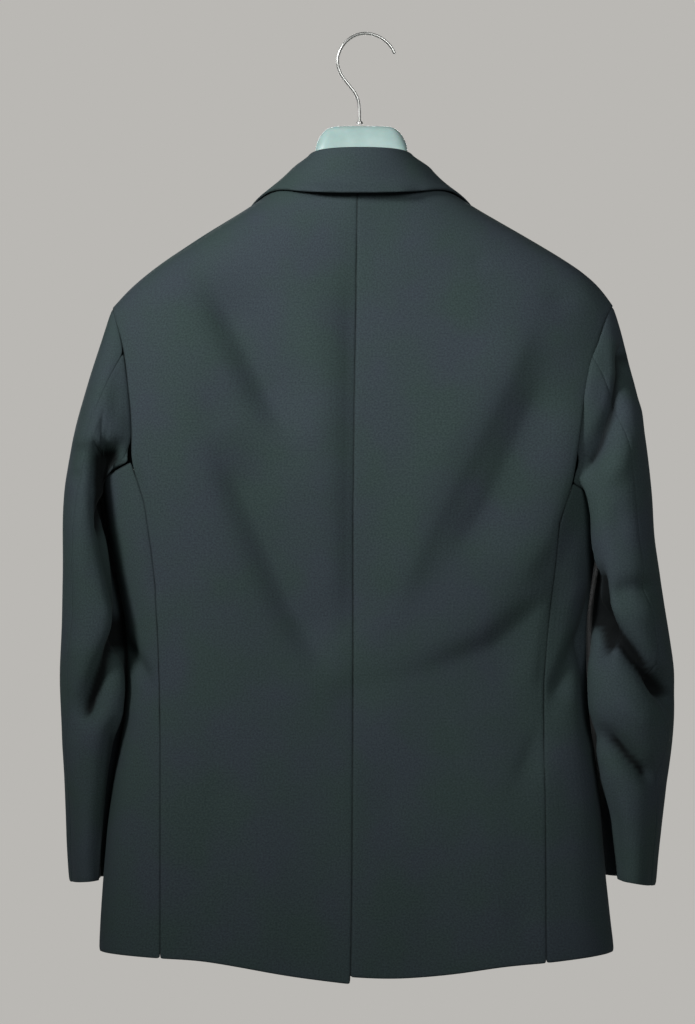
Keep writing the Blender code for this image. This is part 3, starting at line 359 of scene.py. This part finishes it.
# %% Folds of the sleeves
SLEEVE_FOLDS = {
    LEFT: [
        # The cap ends in a soft edge over a deep hollow under the arm.
        Fold("back", [(-262, 390), (-244, 394), (-219, 390)], -20, 17, 7),
        Fold("back", [(-247, 398), (-244, 424), (-240, 458)], -16, 9, 10),
        Fold("back", [(-224, 385), (-232, 408)], -11, 7, 7),
        Fold("back", [(-244, 430), (-236, 480), (-227, 521), (-214, 566)], -9, 10, 12),
        Fold("back", [(-262, 378), (-240, 378), (-226, 372)], 3.4, 9, 9),
        Fold("back", [(-276, 408), (-266, 414), (-256, 418)], -3.2, 6, 6),
        Fold("back", [(-266, 430), (-264, 470), (-266, 520)], 3.2, 11, 11),
        Fold("back", [(-248, 320), (-244, 352)], 1.6, 12, 12),
        Fold("back", [(-228, 292), (-230, 330), (-228, 366)], -1.6, 8, 8),
        # The elbow
        Fold("back", [(-204, 532), (-222, 562), (-240, 592), (-254, 620), (-268, 648)], -14, 10, 10),
        Fold("back", [(-270, 560), (-262, 590)], 2.4, 11, 11),
        Fold("back", [(-236, 528), (-238, 552)], 2.6, 9, 9),
        Fold("back", [(-232, 628), (-244, 652)], 3.0, 10, 10),
        Fold("back", [(-224, 630), (-236, 700), (-246, 760), (-254, 830)], -10, 12, 13),
        Fold("back", [(-272, 668), (-270, 720)], 1.8, 9, 9),
        Fold("back", [(-256, 740), (-258, 786)], 1.6, 12, 12),
        # The forearm hangs forward, away from the light.
        Fold("back", [(-300, 800), (-210, 800)], -9, 110, 110),
        # The hidden fore side
        Fold("front", [(-236, 400), (-252, 450), (-258, 510)], -3.0, 12, 12),
        Fold("front", [(-228, 590), (-250, 606), (-276, 600)], -5.0, 10, 10),
        Fold("front", [(-226, 628), (-248, 640), (-270, 632)], -3.2, 9, 9),
        Fold("front", [(-232, 570), (-262, 580)], 2.4, 9, 9),
        Fold("front", [(-236, 690), (-262, 712)], -2.0, 11, 11),
    ],
    RIGHT: [
        # The crescent round the upper arm
        Fold("back", [(247, 284), (244, 318), (235, 350), (218, 384), (194, 412)], -11, 8, 9),
        Fold("back", [(258, 330), (254, 370), (238, 402), (216, 424)], 3.6, 10, 10),
        Fold("back", [(216, 290), (212, 320), (208, 356)], 2.0, 8, 8),
        Fold("back", [(250, 440), (256, 490)], 1.8, 14, 14),
        Fold("back", [(232, 430), (240, 480)], -1.6, 10, 10),
        # The elbow
        Fold("back", [(214, 490), (217, 535), (222, 590)], -13, 8, 9),
        Fold("back", [(220, 526), (250, 517), (280, 515)], -6, 9, 9),
        Fold("back", [(240, 536), (262, 540), (282, 552)], 3.4, 10, 10),
        Fold("back", [(204, 530), (230, 558), (260, 589), (296, 626)], -17, 10, 10),
        Fold("back", [(230, 612), (254, 634), (276, 652)], 4.6, 11, 11),
        Fold("back", [(210, 646), (238, 667), (280, 700)], -12, 9, 10),
        Fold("back", [(226, 700), (242, 724), (256, 750)], 2.2, 13, 13),
        Fold("back", [(238, 760), (250, 786)], -1.4, 10, 10),
        # The forearm hangs forward, away from the light.
        Fold("back", [(200, 800), (300, 800)], -9, 110, 110),
        Fold("back", [(226, 690), (231, 750), (236, 820)], -8, 22, 15),
        # The hidden fore side
        Fold("front", [(230, 396), (246, 450), (250, 500)], -3.0, 12, 12),
        Fold("front", [(222, 596), (248, 610), (280, 604)], -5.0, 10, 10),
        Fold("front", [(222, 640), (246, 650), (272, 640)], -3.4, 9, 9),
        Fold("front", [(226, 574), (256, 582)], 2.6, 9, 9),
        Fold("front", [(234, 700), (260, 716)], -2.0, 11, 11),
    ],
}
fold_lists = [BODY_FOLDS, COLLAR_FOLDS, *SLEEVE_FOLDS.values()]
print("folds laid by hand:", sum(len(folds) for folds in fold_lists))

# %% [markdown]
# ## How a fold fades
# Across its line a fold is a bell curve, steeper on its narrow side. Along the line it is
# fullest in the middle. It also dies away where the cloth turns from the side on which it
# was seen, so that a fold of the back never shows on the front. Little light gets into a
# narrow fold, so those folds also tell how deep each point lies, for the painted shade there.

# %% Height of the folds at any point
def line_distance(across, down, line):
    """How far points lie from a bent line, on which side from -1 to 1, and how far from an end."""
    nearest = np.full(len(across), 1e9)
    side = np.zeros(len(across))
    from_end = np.zeros(len(across))
    pieces = [math.dist(a, b) for a, b in zip(line, line[1:])]
    gone = 0.0
    for (x0, d0), (x1, d1), length in zip(line, line[1:], pieces):
        dx, dd = (x1 - x0) / length, (d1 - d0) / length
        along = np.clip((across - x0) * dx + (down - d0) * dd, 0, length)
        off_x, off_d = across - x0 - along * dx, down - d0 - along * dd
        distance = np.hypot(off_x, off_d)
        closer = distance < nearest
        side = np.where(closer, (off_x * dd - off_d * dx) / np.maximum(distance, 1e-6), side)
        to_end = np.minimum(gone + along, sum(pieces) - gone - along)
        from_end = np.where(closer, to_end, from_end)
        nearest = np.where(closer, distance, nearest)
        gone += length
    return nearest, side, from_end


# How squarely the cloth must face the fold's side before the fold begins, and is whole
FACING_FROM, FACING_OVER = -0.05, 0.3
# The height that is left at a fold's ends, and how many widths in from them it is whole
END_SHARE, END_LENGTHS = 0.2, 1.2
# Folds narrower than this, in millimetres, get painted shade, which reaches a little round the side.
NARROW = 26
SHADE_REACH = 0.5


def fold_height(folds, points, out):
    """Height that the folds add, fading where the cloth turns away, and the depth for painted shade.
    """
    across = points[:, 0] / MM
    down = -points[:, 2] / MM
    height = np.zeros(len(points))
    depth = np.zeros(len(points))
    for fold in folds:
        facing = -out[:, 1] if fold.face == "back" else out[:, 1]
        distance, side, from_end = line_distance(across, down, fold.line)
        width = fold.left + (fold.right - fold.left) * ease((side + 1) / 2)
        seen = ease((facing - FACING_FROM) / FACING_OVER)
        fade = from_end / (END_LENGTHS * (fold.left + fold.right))
        ends = END_SHARE + (1 - END_SHARE) * ease(fade)
        profile = fold.rise * np.exp(-((distance / width) ** 2))
        height += profile * seen * ends
        if fold.left + fold.right < NARROW:
            depth -= profile * ease((facing + SHADE_REACH) / SHADE_REACH) * ends
    return height * MM, depth * MM


# %% [markdown]
# ## Pressed seams and a living surface
# Where two panels are sewn, the cloth dips into the seam, and the pressed allowance behind it
# leaves a faint ridge a little way off. Between the seams real wool is never quite flat, so a
# slow noise of a third of a millimetre goes over everything. Little light reaches the bottom
# of a seam or of a narrow fold, and dark wool looks almost black there, so both get painted
# shade: the colour of the cloth is darkened along every hard edge and in deep hollows.

# %% Seam dip and slow unevenness
SEAM_DIP = 0.45 * MM
SEAM_DIP_WIDTH = 1.8 * MM
# Painted shade: its width along a hard edge, its darkness in a hollow and the depths where it sets
# in.
SEAM_SHADE_WIDTH = 1.1 * MM
HOLLOW_SHADE = 0.97
HOLLOW_FROM, HOLLOW_OVER = 5.5 * MM, 7 * MM
ALLOWANCE_RIDGE = 0.05 * MM
ALLOWANCE_AT = 11 * MM
ALLOWANCE_WIDTH = 4 * MM
UNEVEN = 0.35 * MM
UNEVEN_SIZE = 38 * MM


def unevenness(points):
    return np.array([noise.noise(Vector(p) / UNEVEN_SIZE) for p in points]) * UNEVEN


def seam_height(distance):
    dip = -SEAM_DIP * np.exp(-((distance / SEAM_DIP_WIDTH) ** 2))
    ridge = ALLOWANCE_RIDGE * np.exp(-(((distance - ALLOWANCE_AT) / ALLOWANCE_WIDTH) ** 2))
    return dip + ridge


def paint_crease_shade(mesh, distance, strength, depth):
    """Keeps painted shade for each point, dark in a seam or a deep hollow, to darken the colour of
    the cloth.
    """
    shade = strength * np.exp(-((distance / SEAM_SHADE_WIDTH) ** 2))
    shade = np.maximum(shade, HOLLOW_SHADE * ease((depth - HOLLOW_FROM) / HOLLOW_OVER))
    layer = mesh.attributes.new("painted_shade", "FLOAT", "POINT")
    layer.data.foreach_set("value", shade.astype(np.float32))


# %% [markdown]
# ## A map for the weave
# A weave has to run along the cloth and not through it. So each piece gets a map in metres,
# with the distance round its oval one way and the height the other.

# %% The cloth's own map
def arc_round(points, oval, start):
    """Distance round the oval from its hind point, for the cloth's own map."""
    across = (points[:, 0] - oval.centre_x) / oval.half_x
    deep = -(points[:, 1] - oval.centre_y) / oval.half_y
    turn = np.arctan2(across, deep)
    turn = np.where(turn - start > math.pi, turn - 2 * math.pi, turn)
    turn = np.where(turn - start < -math.pi, turn + 2 * math.pi, turn)
    half_x, half_y = float(np.mean(oval.half_x)), float(np.mean(oval.half_y))
    table = np.linspace(-3 * math.pi, 3 * math.pi, ARC_STEPS + 1)
    speed = np.hypot(half_x * np.cos(table), half_y * np.sin(table))
    length = np.concatenate([[0], np.cumsum((speed[1:] + speed[:-1]) / 2 * np.diff(table))])
    return np.interp(turn, table, length)


def map_cloth(mesh, around, up):
    """A UV map in metres, so that a weave follows the cloth."""
    layer = mesh.uv_layers.new(name="Cloth")
    index = np.empty(len(mesh.loops), np.int32)
    mesh.loops.foreach_get("vertex_index", index)
    layer.data.foreach_set("uv", np.stack([around, up], axis=1)[index].astype(np.float32).ravel())


# %% [markdown]
# ## Colours, nodes and the size of a pattern
# Hex colours are what a picture editor shows. A shader wants linear light, so one function
# turns them. One more adds a node with its settings, links and colour stops, which keeps
# each material a short list. The last two turn a real size into a texture's scale: a noise
# has about one spot to each unit, and a wave has 20 bands to each two pi.

# %% Helpers for materials
def linear(hex_colour):
    """An sRGB hex colour as linear RGBA."""
    parts = [int(hex_colour[i : i + 2], 16) / 255 for i in (1, 3, 5)]
    return (*(p / 12.92 if p <= 0.04045 else ((p + 0.055) / 1.055) ** 2.4 for p in parts), 1)


def add_node(tree, kind, settings=(), inputs=(), links=(), stops=()):
    """A node with attributes, socket values, links as (socket, from node, from socket) and
    a colour ramp's stops as (position, hex colour)."""
    node = tree.nodes.new(kind)
    for name, value in dict(settings).items():
        setattr(node, name, value)
    for name, value in dict(inputs).items():
        node.inputs[name].default_value = value
    for name, source, output in links:
        tree.links.new(source.outputs[output], node.inputs[name])
    for number, (position, hex_colour) in enumerate(stops):
        node.color_ramp.elements[number].position = position
        node.color_ramp.elements[number].color = linear(hex_colour)
    return node


def new_material(name):
    material = bpy.data.materials.new(name)
    material.use_nodes = True
    print("material:", name)
    return material, material.node_tree, material.node_tree.nodes["Principled BSDF"]


def spot_scale(size):
    return 1 / size


def band_scale(spacing):
    return 2 * math.pi / (20 * spacing)


# %% [markdown]
# ## Worsted wool
# The cloth is a fine worsted, a smooth yarn in a plain weave, dyed a charcoal with green in
# it and pressed matt. From across a room the weave is only a faint grain, the dye looks a
# little greener or bluer from place to place, and nothing shines. Real threads are about
# 0.35 mm apart, which is finer than a pixel. The bands that stand for them are drawn much
# coarser, 5.7 mm apart, and are so shallow that they only break up the light.

# %% Warp and weft
WEAVE_BANDS = 5.655 * MM
wool, tree, shader = new_material("Worsted wool, woven and pressed")
cloth_map = add_node(tree, "ShaderNodeUVMap", {"uv_map": "Cloth"})
warp, weft = (
    add_node(
        tree,
        "ShaderNodeTexWave",
        {"wave_type": "BANDS", "bands_direction": direction},
        {"Scale": band_scale(WEAVE_BANDS), "Distortion": 0.8, "Detail": 1.0, "Detail Scale": 2.0},
        [("Vector", cloth_map, "UV")],
    )
    for direction in ("X", "Y")
)
weave = add_node(
    tree,
    "ShaderNodeMath",
    {"operation": "MULTIPLY"},
    links=[(0, warp, "Fac"), (1, weft, "Fac")],
)

# %% [markdown]
# ### Yarn and dye
# Spun yarn is a little thicker and darker here and there, in spots of a millimetre or two.
# A dye bath takes unevenly too, over a hand's breadth. Both are noises, and a mix of the two
# gives the colour.

# %% Yarn and dye
SLUB = 1.613 * MM
DYE_CLOUD = 62.5 * MM
DYE_SHARE = 0.45
slub = add_node(
    tree,
    "ShaderNodeTexNoise",
    inputs={"Scale": spot_scale(SLUB), "Detail": 3.0, "Roughness": 0.6},
    links=[("Vector", cloth_map, "UV")],
)
yarn = add_node(
    tree, "ShaderNodeValToRGB", links=[("Fac", slub, "Fac")],
    stops=[(0.34, "#2C3639"), (0.66, "#435052")],
)
cloud = add_node(
    tree,
    "ShaderNodeTexNoise",
    inputs={"Scale": spot_scale(DYE_CLOUD), "Detail": 2.0, "Roughness": 0.5},
    links=[("Vector", add_node(tree, "ShaderNodeTexCoord"), "Object")],
)
dye = add_node(
    tree, "ShaderNodeValToRGB", links=[("Fac", cloud, "Fac")],
    stops=[(0.36, "#334540"), (0.64, "#39404B")],
)
colour = add_node(
    tree,
    "ShaderNodeMix",
    {"data_type": "RGBA", "blend_type": "MIX"},
    {0: DYE_SHARE},
    [(6, yarn, "Color"), (7, dye, "Color")],
)

# %% [markdown]
# ### Painted shade and nap
# The painted shade that was kept on each piece darkens the colour in the seams and the deep
# hollows almost to black. Weave and yarn lift the surface by a fraction of a millimetre,
# which breaks up the light, and the short nap of pressed wool leaves no more than a dull sheen.

# %% Painted shade and nap
NAP = 0.2 * MM
painted_shade = add_node(tree, "ShaderNodeAttribute", {"attribute_name": "painted_shade"})
painted_shade_curve = add_node(
    tree,
    "ShaderNodeMath",
    {"operation": "POWER"},
    {1: 1.5},
    [(0, painted_shade, "Fac")],
)
# Painted shade: near black is mixed into the cloth's colour where the shade attribute is high.
shaded = add_node(
    tree,
    "ShaderNodeMix",
    {"data_type": "RGBA", "blend_type": "MIX"},
    {7: linear("#070A0B")},
    [(0, painted_shade_curve, "Value"), (6, colour, 2)],
)
grain = add_node(
    tree,
    "ShaderNodeMath",
    {"operation": "ADD"},
    links=[(0, weave, "Value"), (1, slub, "Fac")],
)
bump = add_node(
    tree,
    "ShaderNodeBump",
    inputs={"Strength": 0.35, "Distance": NAP},
    links=[("Height", grain, "Value")],
)
tree.links.new(shaded.outputs[2], shader.inputs["Base Color"])
tree.links.new(bump.outputs["Normal"], shader.inputs["Normal"])
shader.inputs["Roughness"].default_value = 0.86
shader.inputs["Specular IOR Level"].default_value = 0.16
shader.inputs["Sheen Weight"].default_value = 0.05
shader.inputs["Sheen Roughness"].default_value = 0.45
shader.inputs["Sheen Tint"].default_value = linear("#9AA8A6")

# %% [markdown]
# ## Finish a piece of cloth
# Every panel goes through the same steps: soften, press, fold, paint shade into its seams and
# hollows, map, dye. It then takes its solid's place in the frame.

# %% Make cloth of a panel
TURNED_EDGE = 0.6 * MM


def dress(obj, material, node=None):
    """Gives a piece its material and slot, and the place of the node that it stands for."""
    obj.data.materials.clear()
    obj.data.materials.append(material)
    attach(obj, "root")
    if node:
        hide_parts(node)


def make_cloth(node, label, levels, oval_of, folds, start, painted_shade=1.0):
    bm = merged_copy(node)
    close_seams(bm)
    rim = rim_tree(bm)
    bevel_edges(bm, TURNED_EDGE, 1)
    obj = rounded(bm, label, levels)
    mesh = obj.data
    points = points_of(mesh)
    oval = oval_of(points)
    out = outward(points, oval)
    folded, depth = fold_height(folds, points, out)
    from_rim = np.array([rim.find(point)[2] for point in points])
    height = folded + seam_height(from_rim) + unevenness(points)
    # Painted shade along the hard edges and in the deep fold hollows
    paint_crease_shade(mesh, from_rim, painted_shade, depth)
    map_cloth(mesh, arc_round(points, oval, start), points[:, 2])
    put_points(mesh, points + out * height[:, None])
    dress(obj, wool, node)
    triangles = sum(len(polygon.vertices) - 2 for polygon in mesh.polygons)
    half_area = sum(polygon.area for polygon in mesh.polygons) / 2
    print(f"{label}: {triangles} triangles, {half_area:.4f} square metres")


# %% [markdown]
# ## The body
# Two backs meet at the centre back seam, a side panel runs under each arm and the two fronts
# close with two buttons. The left of each pair laps over the right: at the vent behind and at
# the buttons before.

# %% Backs, side panels and fronts
HALF_TURN = {LEFT: -math.pi / 2, RIGHT: math.pi / 2}
for side in (LEFT, RIGHT):
    make_cloth(
        f"back_{side}", f"Back-{side}", 3, body_oval, BODY_FOLDS, HALF_TURN[side] / 2,
    )
    make_cloth(
        f"side_panel_{side}", f"Side-panel-{side}", 3, body_oval, BODY_FOLDS, HALF_TURN[side],
    )
    make_cloth(
        f"front_{side}", f"Front-{side}", 3, body_oval, BODY_FOLDS, HALF_TURN[side] * 1.5,
    )

# %% [markdown]
# ## The sleeves
# A tailored sleeve has two parts: a wide one outside and a narrow one under the arm. They are
# cut on a bend, so the sleeve hangs forward, and their hind seam is left open at the cuff.

# %% Top and under sleeves
for side in (LEFT, RIGHT):
    for part, levels, width, area in (("top", 3, 0.2, 0.092), ("under", 2, 0.18, 0.075)):
        make_cloth(
            f"{part}_sleeve_{side}", f"{part.capitalize()}-sleeve-{side}", levels,
            lambda points, side=side: sleeve_oval(side, points), SLEEVE_FOLDS[side],
            HALF_TURN[side] if part == "top" else -HALF_TURN[side],
            # The sleeves get a lighter painted shade along their seams.
            painted_shade=0.35,
        )

# %% [markdown]
# ## Collar, lapels and vent
# The collar's stand and fall are one wall, folded at the roll line. The lapels are the fronts'
# own edges, turned back. A strip of the right back lies under the left one at the vent.

# %% Collar, lapels and vent strip
make_cloth(
    "collar", "Collar", 3, body_oval, COLLAR_FOLDS, 0.0,
)
for side in (LEFT, RIGHT):
    make_cloth(
        f"lapel_{side}", f"Lapel-{side}", 3, body_oval, [], HALF_TURN[side] * 1.5,
    )
make_cloth(
    "vent_underlap", "Vent-strip", 2, body_oval, BODY_FOLDS, 0.0,
)

# %% [markdown]
# ## Buttons
# A jacket button is a turned resin disc with a raised rim, a shallow dish and four holes,
# sewn through with buttonhole thread. Cast resin is cloudy and takes a polish, so the eye
# sees dark streaks under a small bright glint.

# %% Button resin
STREAK = 5.556 * MM
button_resin, tree, shader = new_material("Button resin, cast and polished")
shader.inputs["Roughness"].default_value = 0.28
streak = add_node(
    tree,
    "ShaderNodeTexNoise",
    inputs={"Scale": spot_scale(STREAK), "Detail": 2.0, "Distortion": 1.5},
    links=[("Vector", add_node(tree, "ShaderNodeTexCoord"), "Object")],
)
tint = add_node(
    tree, "ShaderNodeValToRGB", links=[("Fac", streak, "Fac")],
    stops=[(0.0, "#101314"), (1.0, "#23292A")],
)
tree.links.new(tint.outputs["Color"], shader.inputs["Base Color"])

# %% [markdown]
# ### Turn and drill a button
# The button is made on its own axis, as on a lathe: a circle is extruded, its face is inset
# twice for the rim and the dish, and the edges are bevelled. Four cylinders drill the holes.

# %% Turn the disc
BUTTON_RADIUS = 9.2 * MM
BUTTON_THICKNESS = 3.0 * MM
RIM_WIDTH = 1.5 * MM
DISH_SLOPE, DISH_DEPTH = 0.8 * MM, 0.6 * MM
BUTTON_ROUNDING = 0.45 * MM
ROUNDED_DEGREES = 25
SHARP_DEGREES = 35


def turn_disc(label):
    bm = bmesh.new()
    bmesh.ops.create_circle(bm, cap_ends=True, segments=48, radius=BUTTON_RADIUS)
    lifted = bmesh.ops.extrude_face_region(bm, geom=bm.faces[:])
    top = next(f for f in lifted["geom"] if isinstance(f, bmesh.types.BMFace))
    bmesh.ops.translate(bm, verts=top.verts, vec=(0, 0, BUTTON_THICKNESS))
    bmesh.ops.recalc_face_normals(bm, faces=bm.faces)
    bmesh.ops.inset_region(bm, faces=[top], thickness=RIM_WIDTH)
    bmesh.ops.inset_region(bm, faces=[top], thickness=DISH_SLOPE, depth=-DISH_DEPTH)
    rounding = [e for e in bm.edges if e.calc_face_angle(0) > math.radians(ROUNDED_DEGREES)]
    bmesh.ops.bevel(
        bm, geom=rounding, offset=BUTTON_ROUNDING, offset_type="OFFSET", affect="EDGES",
        segments=3, profile=0.5, clamp_overlap=True, material=-1,
    )
    return new_object(bm, label)


# %% Drill the holes
HOLE_OUT = 2.1 * MM
HOLE_RADIUS = 0.95 * MM
HOLES = [Vector((x, y, 0)) for x in (-HOLE_OUT, HOLE_OUT) for y in (-HOLE_OUT, HOLE_OUT)]


def drill_holes(button):
    bm = bmesh.new()
    for hole in HOLES:
        bmesh.ops.create_cone(
            bm, cap_ends=True, segments=20, radius1=HOLE_RADIUS, radius2=HOLE_RADIUS,
            depth=4 * BUTTON_THICKNESS, matrix=Matrix.Translation(hole),
        )
    cutter = new_object(bm, "Holes")
    drill = button.modifiers.new("Drill", "BOOLEAN")
    drill.operation = "DIFFERENCE"
    drill.object = cutter
    keep_modified(button)
    bpy.data.objects.remove(cutter)


# %% Lay a button where its solid lies
def disc_frame(node):
    """The place of a flat round solid, with +Z out of its face."""
    points = points_of(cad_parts[node].data)
    middle = (points.min(axis=0) + points.max(axis=0)) / 2
    axes = np.linalg.svd(points - points.mean(axis=0), full_matrices=False)[2]
    normal = Vector(axes[2])
    if normal.y < 0:
        normal.negate()
    turn = normal.to_track_quat("Z", "Y").to_matrix().to_4x4()
    return Matrix.Translation(middle) @ turn @ Matrix.Translation((0, 0, -BUTTON_THICKNESS / 2))


def make_button(node, label):
    button = turn_disc(label)
    drill_holes(button)
    place = disc_frame(node)
    button.data.transform(place)
    button.data.shade_smooth()
    button.data.set_sharp_from_angle(angle=math.radians(SHARP_DEGREES))
    dress(button, button_resin, node)
    print(f"{label}: {len(button.data.polygons)} faces")
    return place


# %% [markdown]
# ### Sew the buttons on
# Buttonhole thread is a thick twisted polyester. It goes through the holes in two bars, each
# so worn in that it looks like one round strand, with its twist as slanting lines 2.5 mm
# apart.

# %% Buttonhole thread
PLY = 2.513 * MM
button_thread, tree, shader = new_material("Buttonhole thread, twisted polyester")
shader.inputs["Base Color"].default_value = linear("#262E30")
shader.inputs["Roughness"].default_value = 0.7
ply = add_node(
    tree,
    "ShaderNodeTexWave",
    {"wave_type": "BANDS", "bands_direction": "DIAGONAL"},
    {"Scale": band_scale(PLY)},
    [("Vector", add_node(tree, "ShaderNodeTexCoord"), "Object")],
)
twist = add_node(
    tree, "ShaderNodeBump", inputs={"Strength": 0.5, "Distance": 0.1 * MM},
    links=[("Height", ply, "Fac")],
)
tree.links.new(twist.outputs["Normal"], shader.inputs["Normal"])

# %% Sew the buttons on
BAR_RADIUS = 0.55 * MM
BAR_STRETCH = (1, 4.6, 0.9)
BAR_HEIGHT = BUTTON_THICKNESS - 0.35 * MM


def sew_button(place, label):
    """Two bars of thread between the four holes."""
    bm = bmesh.new()
    for x in (-HOLE_OUT, HOLE_OUT):
        bar = bmesh.ops.create_uvsphere(bm, u_segments=12, v_segments=12, radius=BAR_RADIUS)
        bmesh.ops.scale(bm, vec=BAR_STRETCH, verts=bar["verts"])
        bmesh.ops.translate(bm, vec=(x, 0, BAR_HEIGHT), verts=bar["verts"])
    bmesh.ops.transform(bm, matrix=place, verts=bm.verts)
    bars = new_object(bm, label)
    bars.data.shade_smooth()
    dress(bars, button_thread)


for number in (1, 2):
    place = make_button(f"front_button_{number}", f"Front-button-{number}")
    sew_button(place, f"Button-thread-{number}")

# %% [markdown]
# ## Hanger
# The hanger is blow-moulded polypropylene, pale mint. The mould leaves a satin skin and the
# plastic lets a little light in, so it looks soft and faintly cloudy. Its solid is already
# the right form, so it only needs its ends rounded and its sides smoothed.

# %% Moulded plastic
HAZE = 16.667 * MM
plastic, tree, shader = new_material("Polypropylene, moulded, satin")
haze = add_node(
    tree,
    "ShaderNodeTexNoise",
    inputs={"Scale": spot_scale(HAZE), "Detail": 3.0},
    links=[("Vector", add_node(tree, "ShaderNodeTexCoord"), "Object")],
)
milk = add_node(
    tree, "ShaderNodeValToRGB", links=[("Fac", haze, "Fac")],
    stops=[(0.3, "#9DB8B4"), (0.7, "#ABC4C0")],
)
tree.links.new(milk.outputs["Color"], shader.inputs["Base Color"])
shader.inputs["Roughness"].default_value = 0.42
shader.inputs["Subsurface Weight"].default_value = 0.12
shader.inputs["Subsurface Scale"].default_value = 3 * MM
skin = add_node(
    tree, "ShaderNodeBump", inputs={"Strength": 0.15, "Distance": 0.1 * MM},
    links=[("Height", haze, "Fac")],
)
tree.links.new(skin.outputs["Normal"], shader.inputs["Normal"])

# %% Round the hanger
def round_solid(node, label, edge, material):
    """The node's own form with rounded edges, in its place."""
    net = merged_copy(node)
    bevel_edges(net, edge, 2)
    piece = rounded(net, label, 2)
    dress(piece, material, node)
    print(f"{label}: {len(piece.data.polygons)} faces")


round_solid("hanger_body", "Hanger", 2.5 * MM, plastic)

# %% [markdown]
# ## Hook
# The hook is one length of bright drawn steel wire, bent cold, in a small crimped ring where
# it enters the plastic. Drawing leaves fine lines along a wire, which blur its reflections.
# The lines are finer than a pixel, so a noise of about a millimetre stands for them.

# %% Drawn steel
DRAWN_LINES = 1.111 * MM
steel, tree, shader = new_material("Steel wire, drawn, bright")
shader.inputs["Base Color"].default_value = linear("#C6C7C3")
shader.inputs["Metallic"].default_value = 1.0
drawn = add_node(
    tree,
    "ShaderNodeTexNoise",
    inputs={"Scale": spot_scale(DRAWN_LINES), "Detail": 2.0},
    links=[("Vector", add_node(tree, "ShaderNodeTexCoord"), "Object")],
)
dulled = add_node(
    tree,
    "ShaderNodeMapRange",
    inputs={"To Min": 0.24, "To Max": 0.4},
    links=[("Value", drawn, "Fac")],
)
tree.links.new(dulled.outputs["Result"], shader.inputs["Roughness"])

# %% Hook and ferrule
round_solid("hanger_hook", "Hook", 0.5 * MM, steel)
round_solid("hook_ferrule", "Hook-ferrule", 0.2 * MM, steel)

# %% [markdown]
# ## Floor and room
# The jacket hangs clear of a plain floor of pale matt paint, which shows no gloss. The room
# is an even pale grey, as the wall is in the photograph, but it lights the jacket far less
# than it shows, so that the lamps decide where the cloth is bright.

# %% Floor
FLOOR_REACH = 2.4
FLOOR_DOWN = 1.5
floor_net = bmesh.new()
bmesh.ops.create_grid(floor_net, x_segments=1, y_segments=1, size=FLOOR_REACH)
bmesh.ops.translate(floor_net, verts=floor_net.verts, vec=(0, 0, -FLOOR_DOWN))
floor = new_object(floor_net, "Floor")
paint, tree, shader = new_material("Floor paint, matt")
shader.inputs["Base Color"].default_value = linear("#DAD8D4")
shader.inputs["Roughness"].default_value = 0.9
floor.data.materials.append(paint)

# %% Room
room = bpy.data.worlds.new("Room")
room.use_nodes = True
tree = room.node_tree
seen = tree.nodes["Background"]
seen.inputs["Color"].default_value = linear("#BAB8B4")
ambient = add_node(tree, "ShaderNodeBackground", inputs={"Strength": 0.12})
ambient.inputs["Color"].default_value = linear("#B4B8BA")
ray = add_node(tree, "ShaderNodeLightPath")
both = add_node(
    tree,
    "ShaderNodeMixShader",
    links=[(0, ray, "Is Camera Ray"), (1, ambient, "Background"), (2, seen, "Background")],
)
tree.links.new(both.outputs["Shader"], tree.nodes["World Output"].inputs["Surface"])
bpy.context.scene.world = room
bpy.context.scene.view_settings.view_transform = "Standard"

# %% [markdown]
# ## Light
# A large soft light high on the left is aimed at the shoulder blades, as the window is in
# the photograph, so the cloth grows darker towards the hem and one side of every fold is
# lit. A weak light fills from the right, one stands before the front and a dim one lights
# the floor.

# %% Lights
MIDDLE = Vector((-0.014, 0.0, -0.446))
BLADES = Vector((-0.03, 0.0, -0.04))
BELOW = Vector((0.0, 0.0, -FLOOR_DOWN))


def add_light(name, place, size, power, target, spread=180):
    """A round soft light that throws its light in a cone of so many degrees."""
    data = bpy.data.lights.new(name, "AREA")
    data.shape = "DISK"
    data.size = size
    data.energy = power
    data.spread = math.radians(spread)
    light = bpy.data.objects.new(name, data)
    light.location = place
    light.rotation_euler = (target - Vector(place)).to_track_quat("-Z", "Y").to_euler()
    light.visible_camera = False
    bpy.context.scene.collection.objects.link(light)
    print(f"light: {name}, {power} W")


add_light("Window, high left", (-2.5, -2.1, 1.0), 1.0, 4.3, BLADES, 30)
add_light("Fill, camera side", (0.7, -2.6, 0.8), 1.2, 3.0, BLADES, 52)
add_light("Front side", (-0.2, 2.7, 0.1), 1.6, 42, MIDDLE)
add_light("Floor wash", (0, 0, -0.96), 2.4, 3.5, BELOW)

# %% [markdown]
# ## Camera
# The camera looks level at the back from far enough away that the shape isn't stretched. Its
# lens is worked out so that the picture takes in just what the photograph does.

# %% Camera
SENSOR = 36
DISTANCE = 6.0
camera_data = bpy.data.cameras.new("Camera")
camera_data.sensor_fit = "VERTICAL"
camera_data.sensor_height = SENSOR
frame_height = PHOTO_HEIGHT * MM_PER_PIXEL * MM
camera_data.lens = SENSOR * DISTANCE / frame_height
camera_data.clip_end = 50
camera = bpy.data.objects.new("Camera", camera_data)
centre_x = (PHOTO_WIDTH / 2 - NAIL_PIXEL[0]) * MM_PER_PIXEL * MM
centre_z = -(PHOTO_HEIGHT / 2 - NAIL_PIXEL[1]) * MM_PER_PIXEL * MM
camera.location = (centre_x, -DISTANCE, centre_z)
camera.rotation_euler = (math.pi / 2, 0, 0)
bpy.context.scene.collection.objects.link(camera)
bpy.context.scene.camera = camera
print(f"camera: {camera_data.lens:.1f} mm lens, {DISTANCE} m from the jacket")
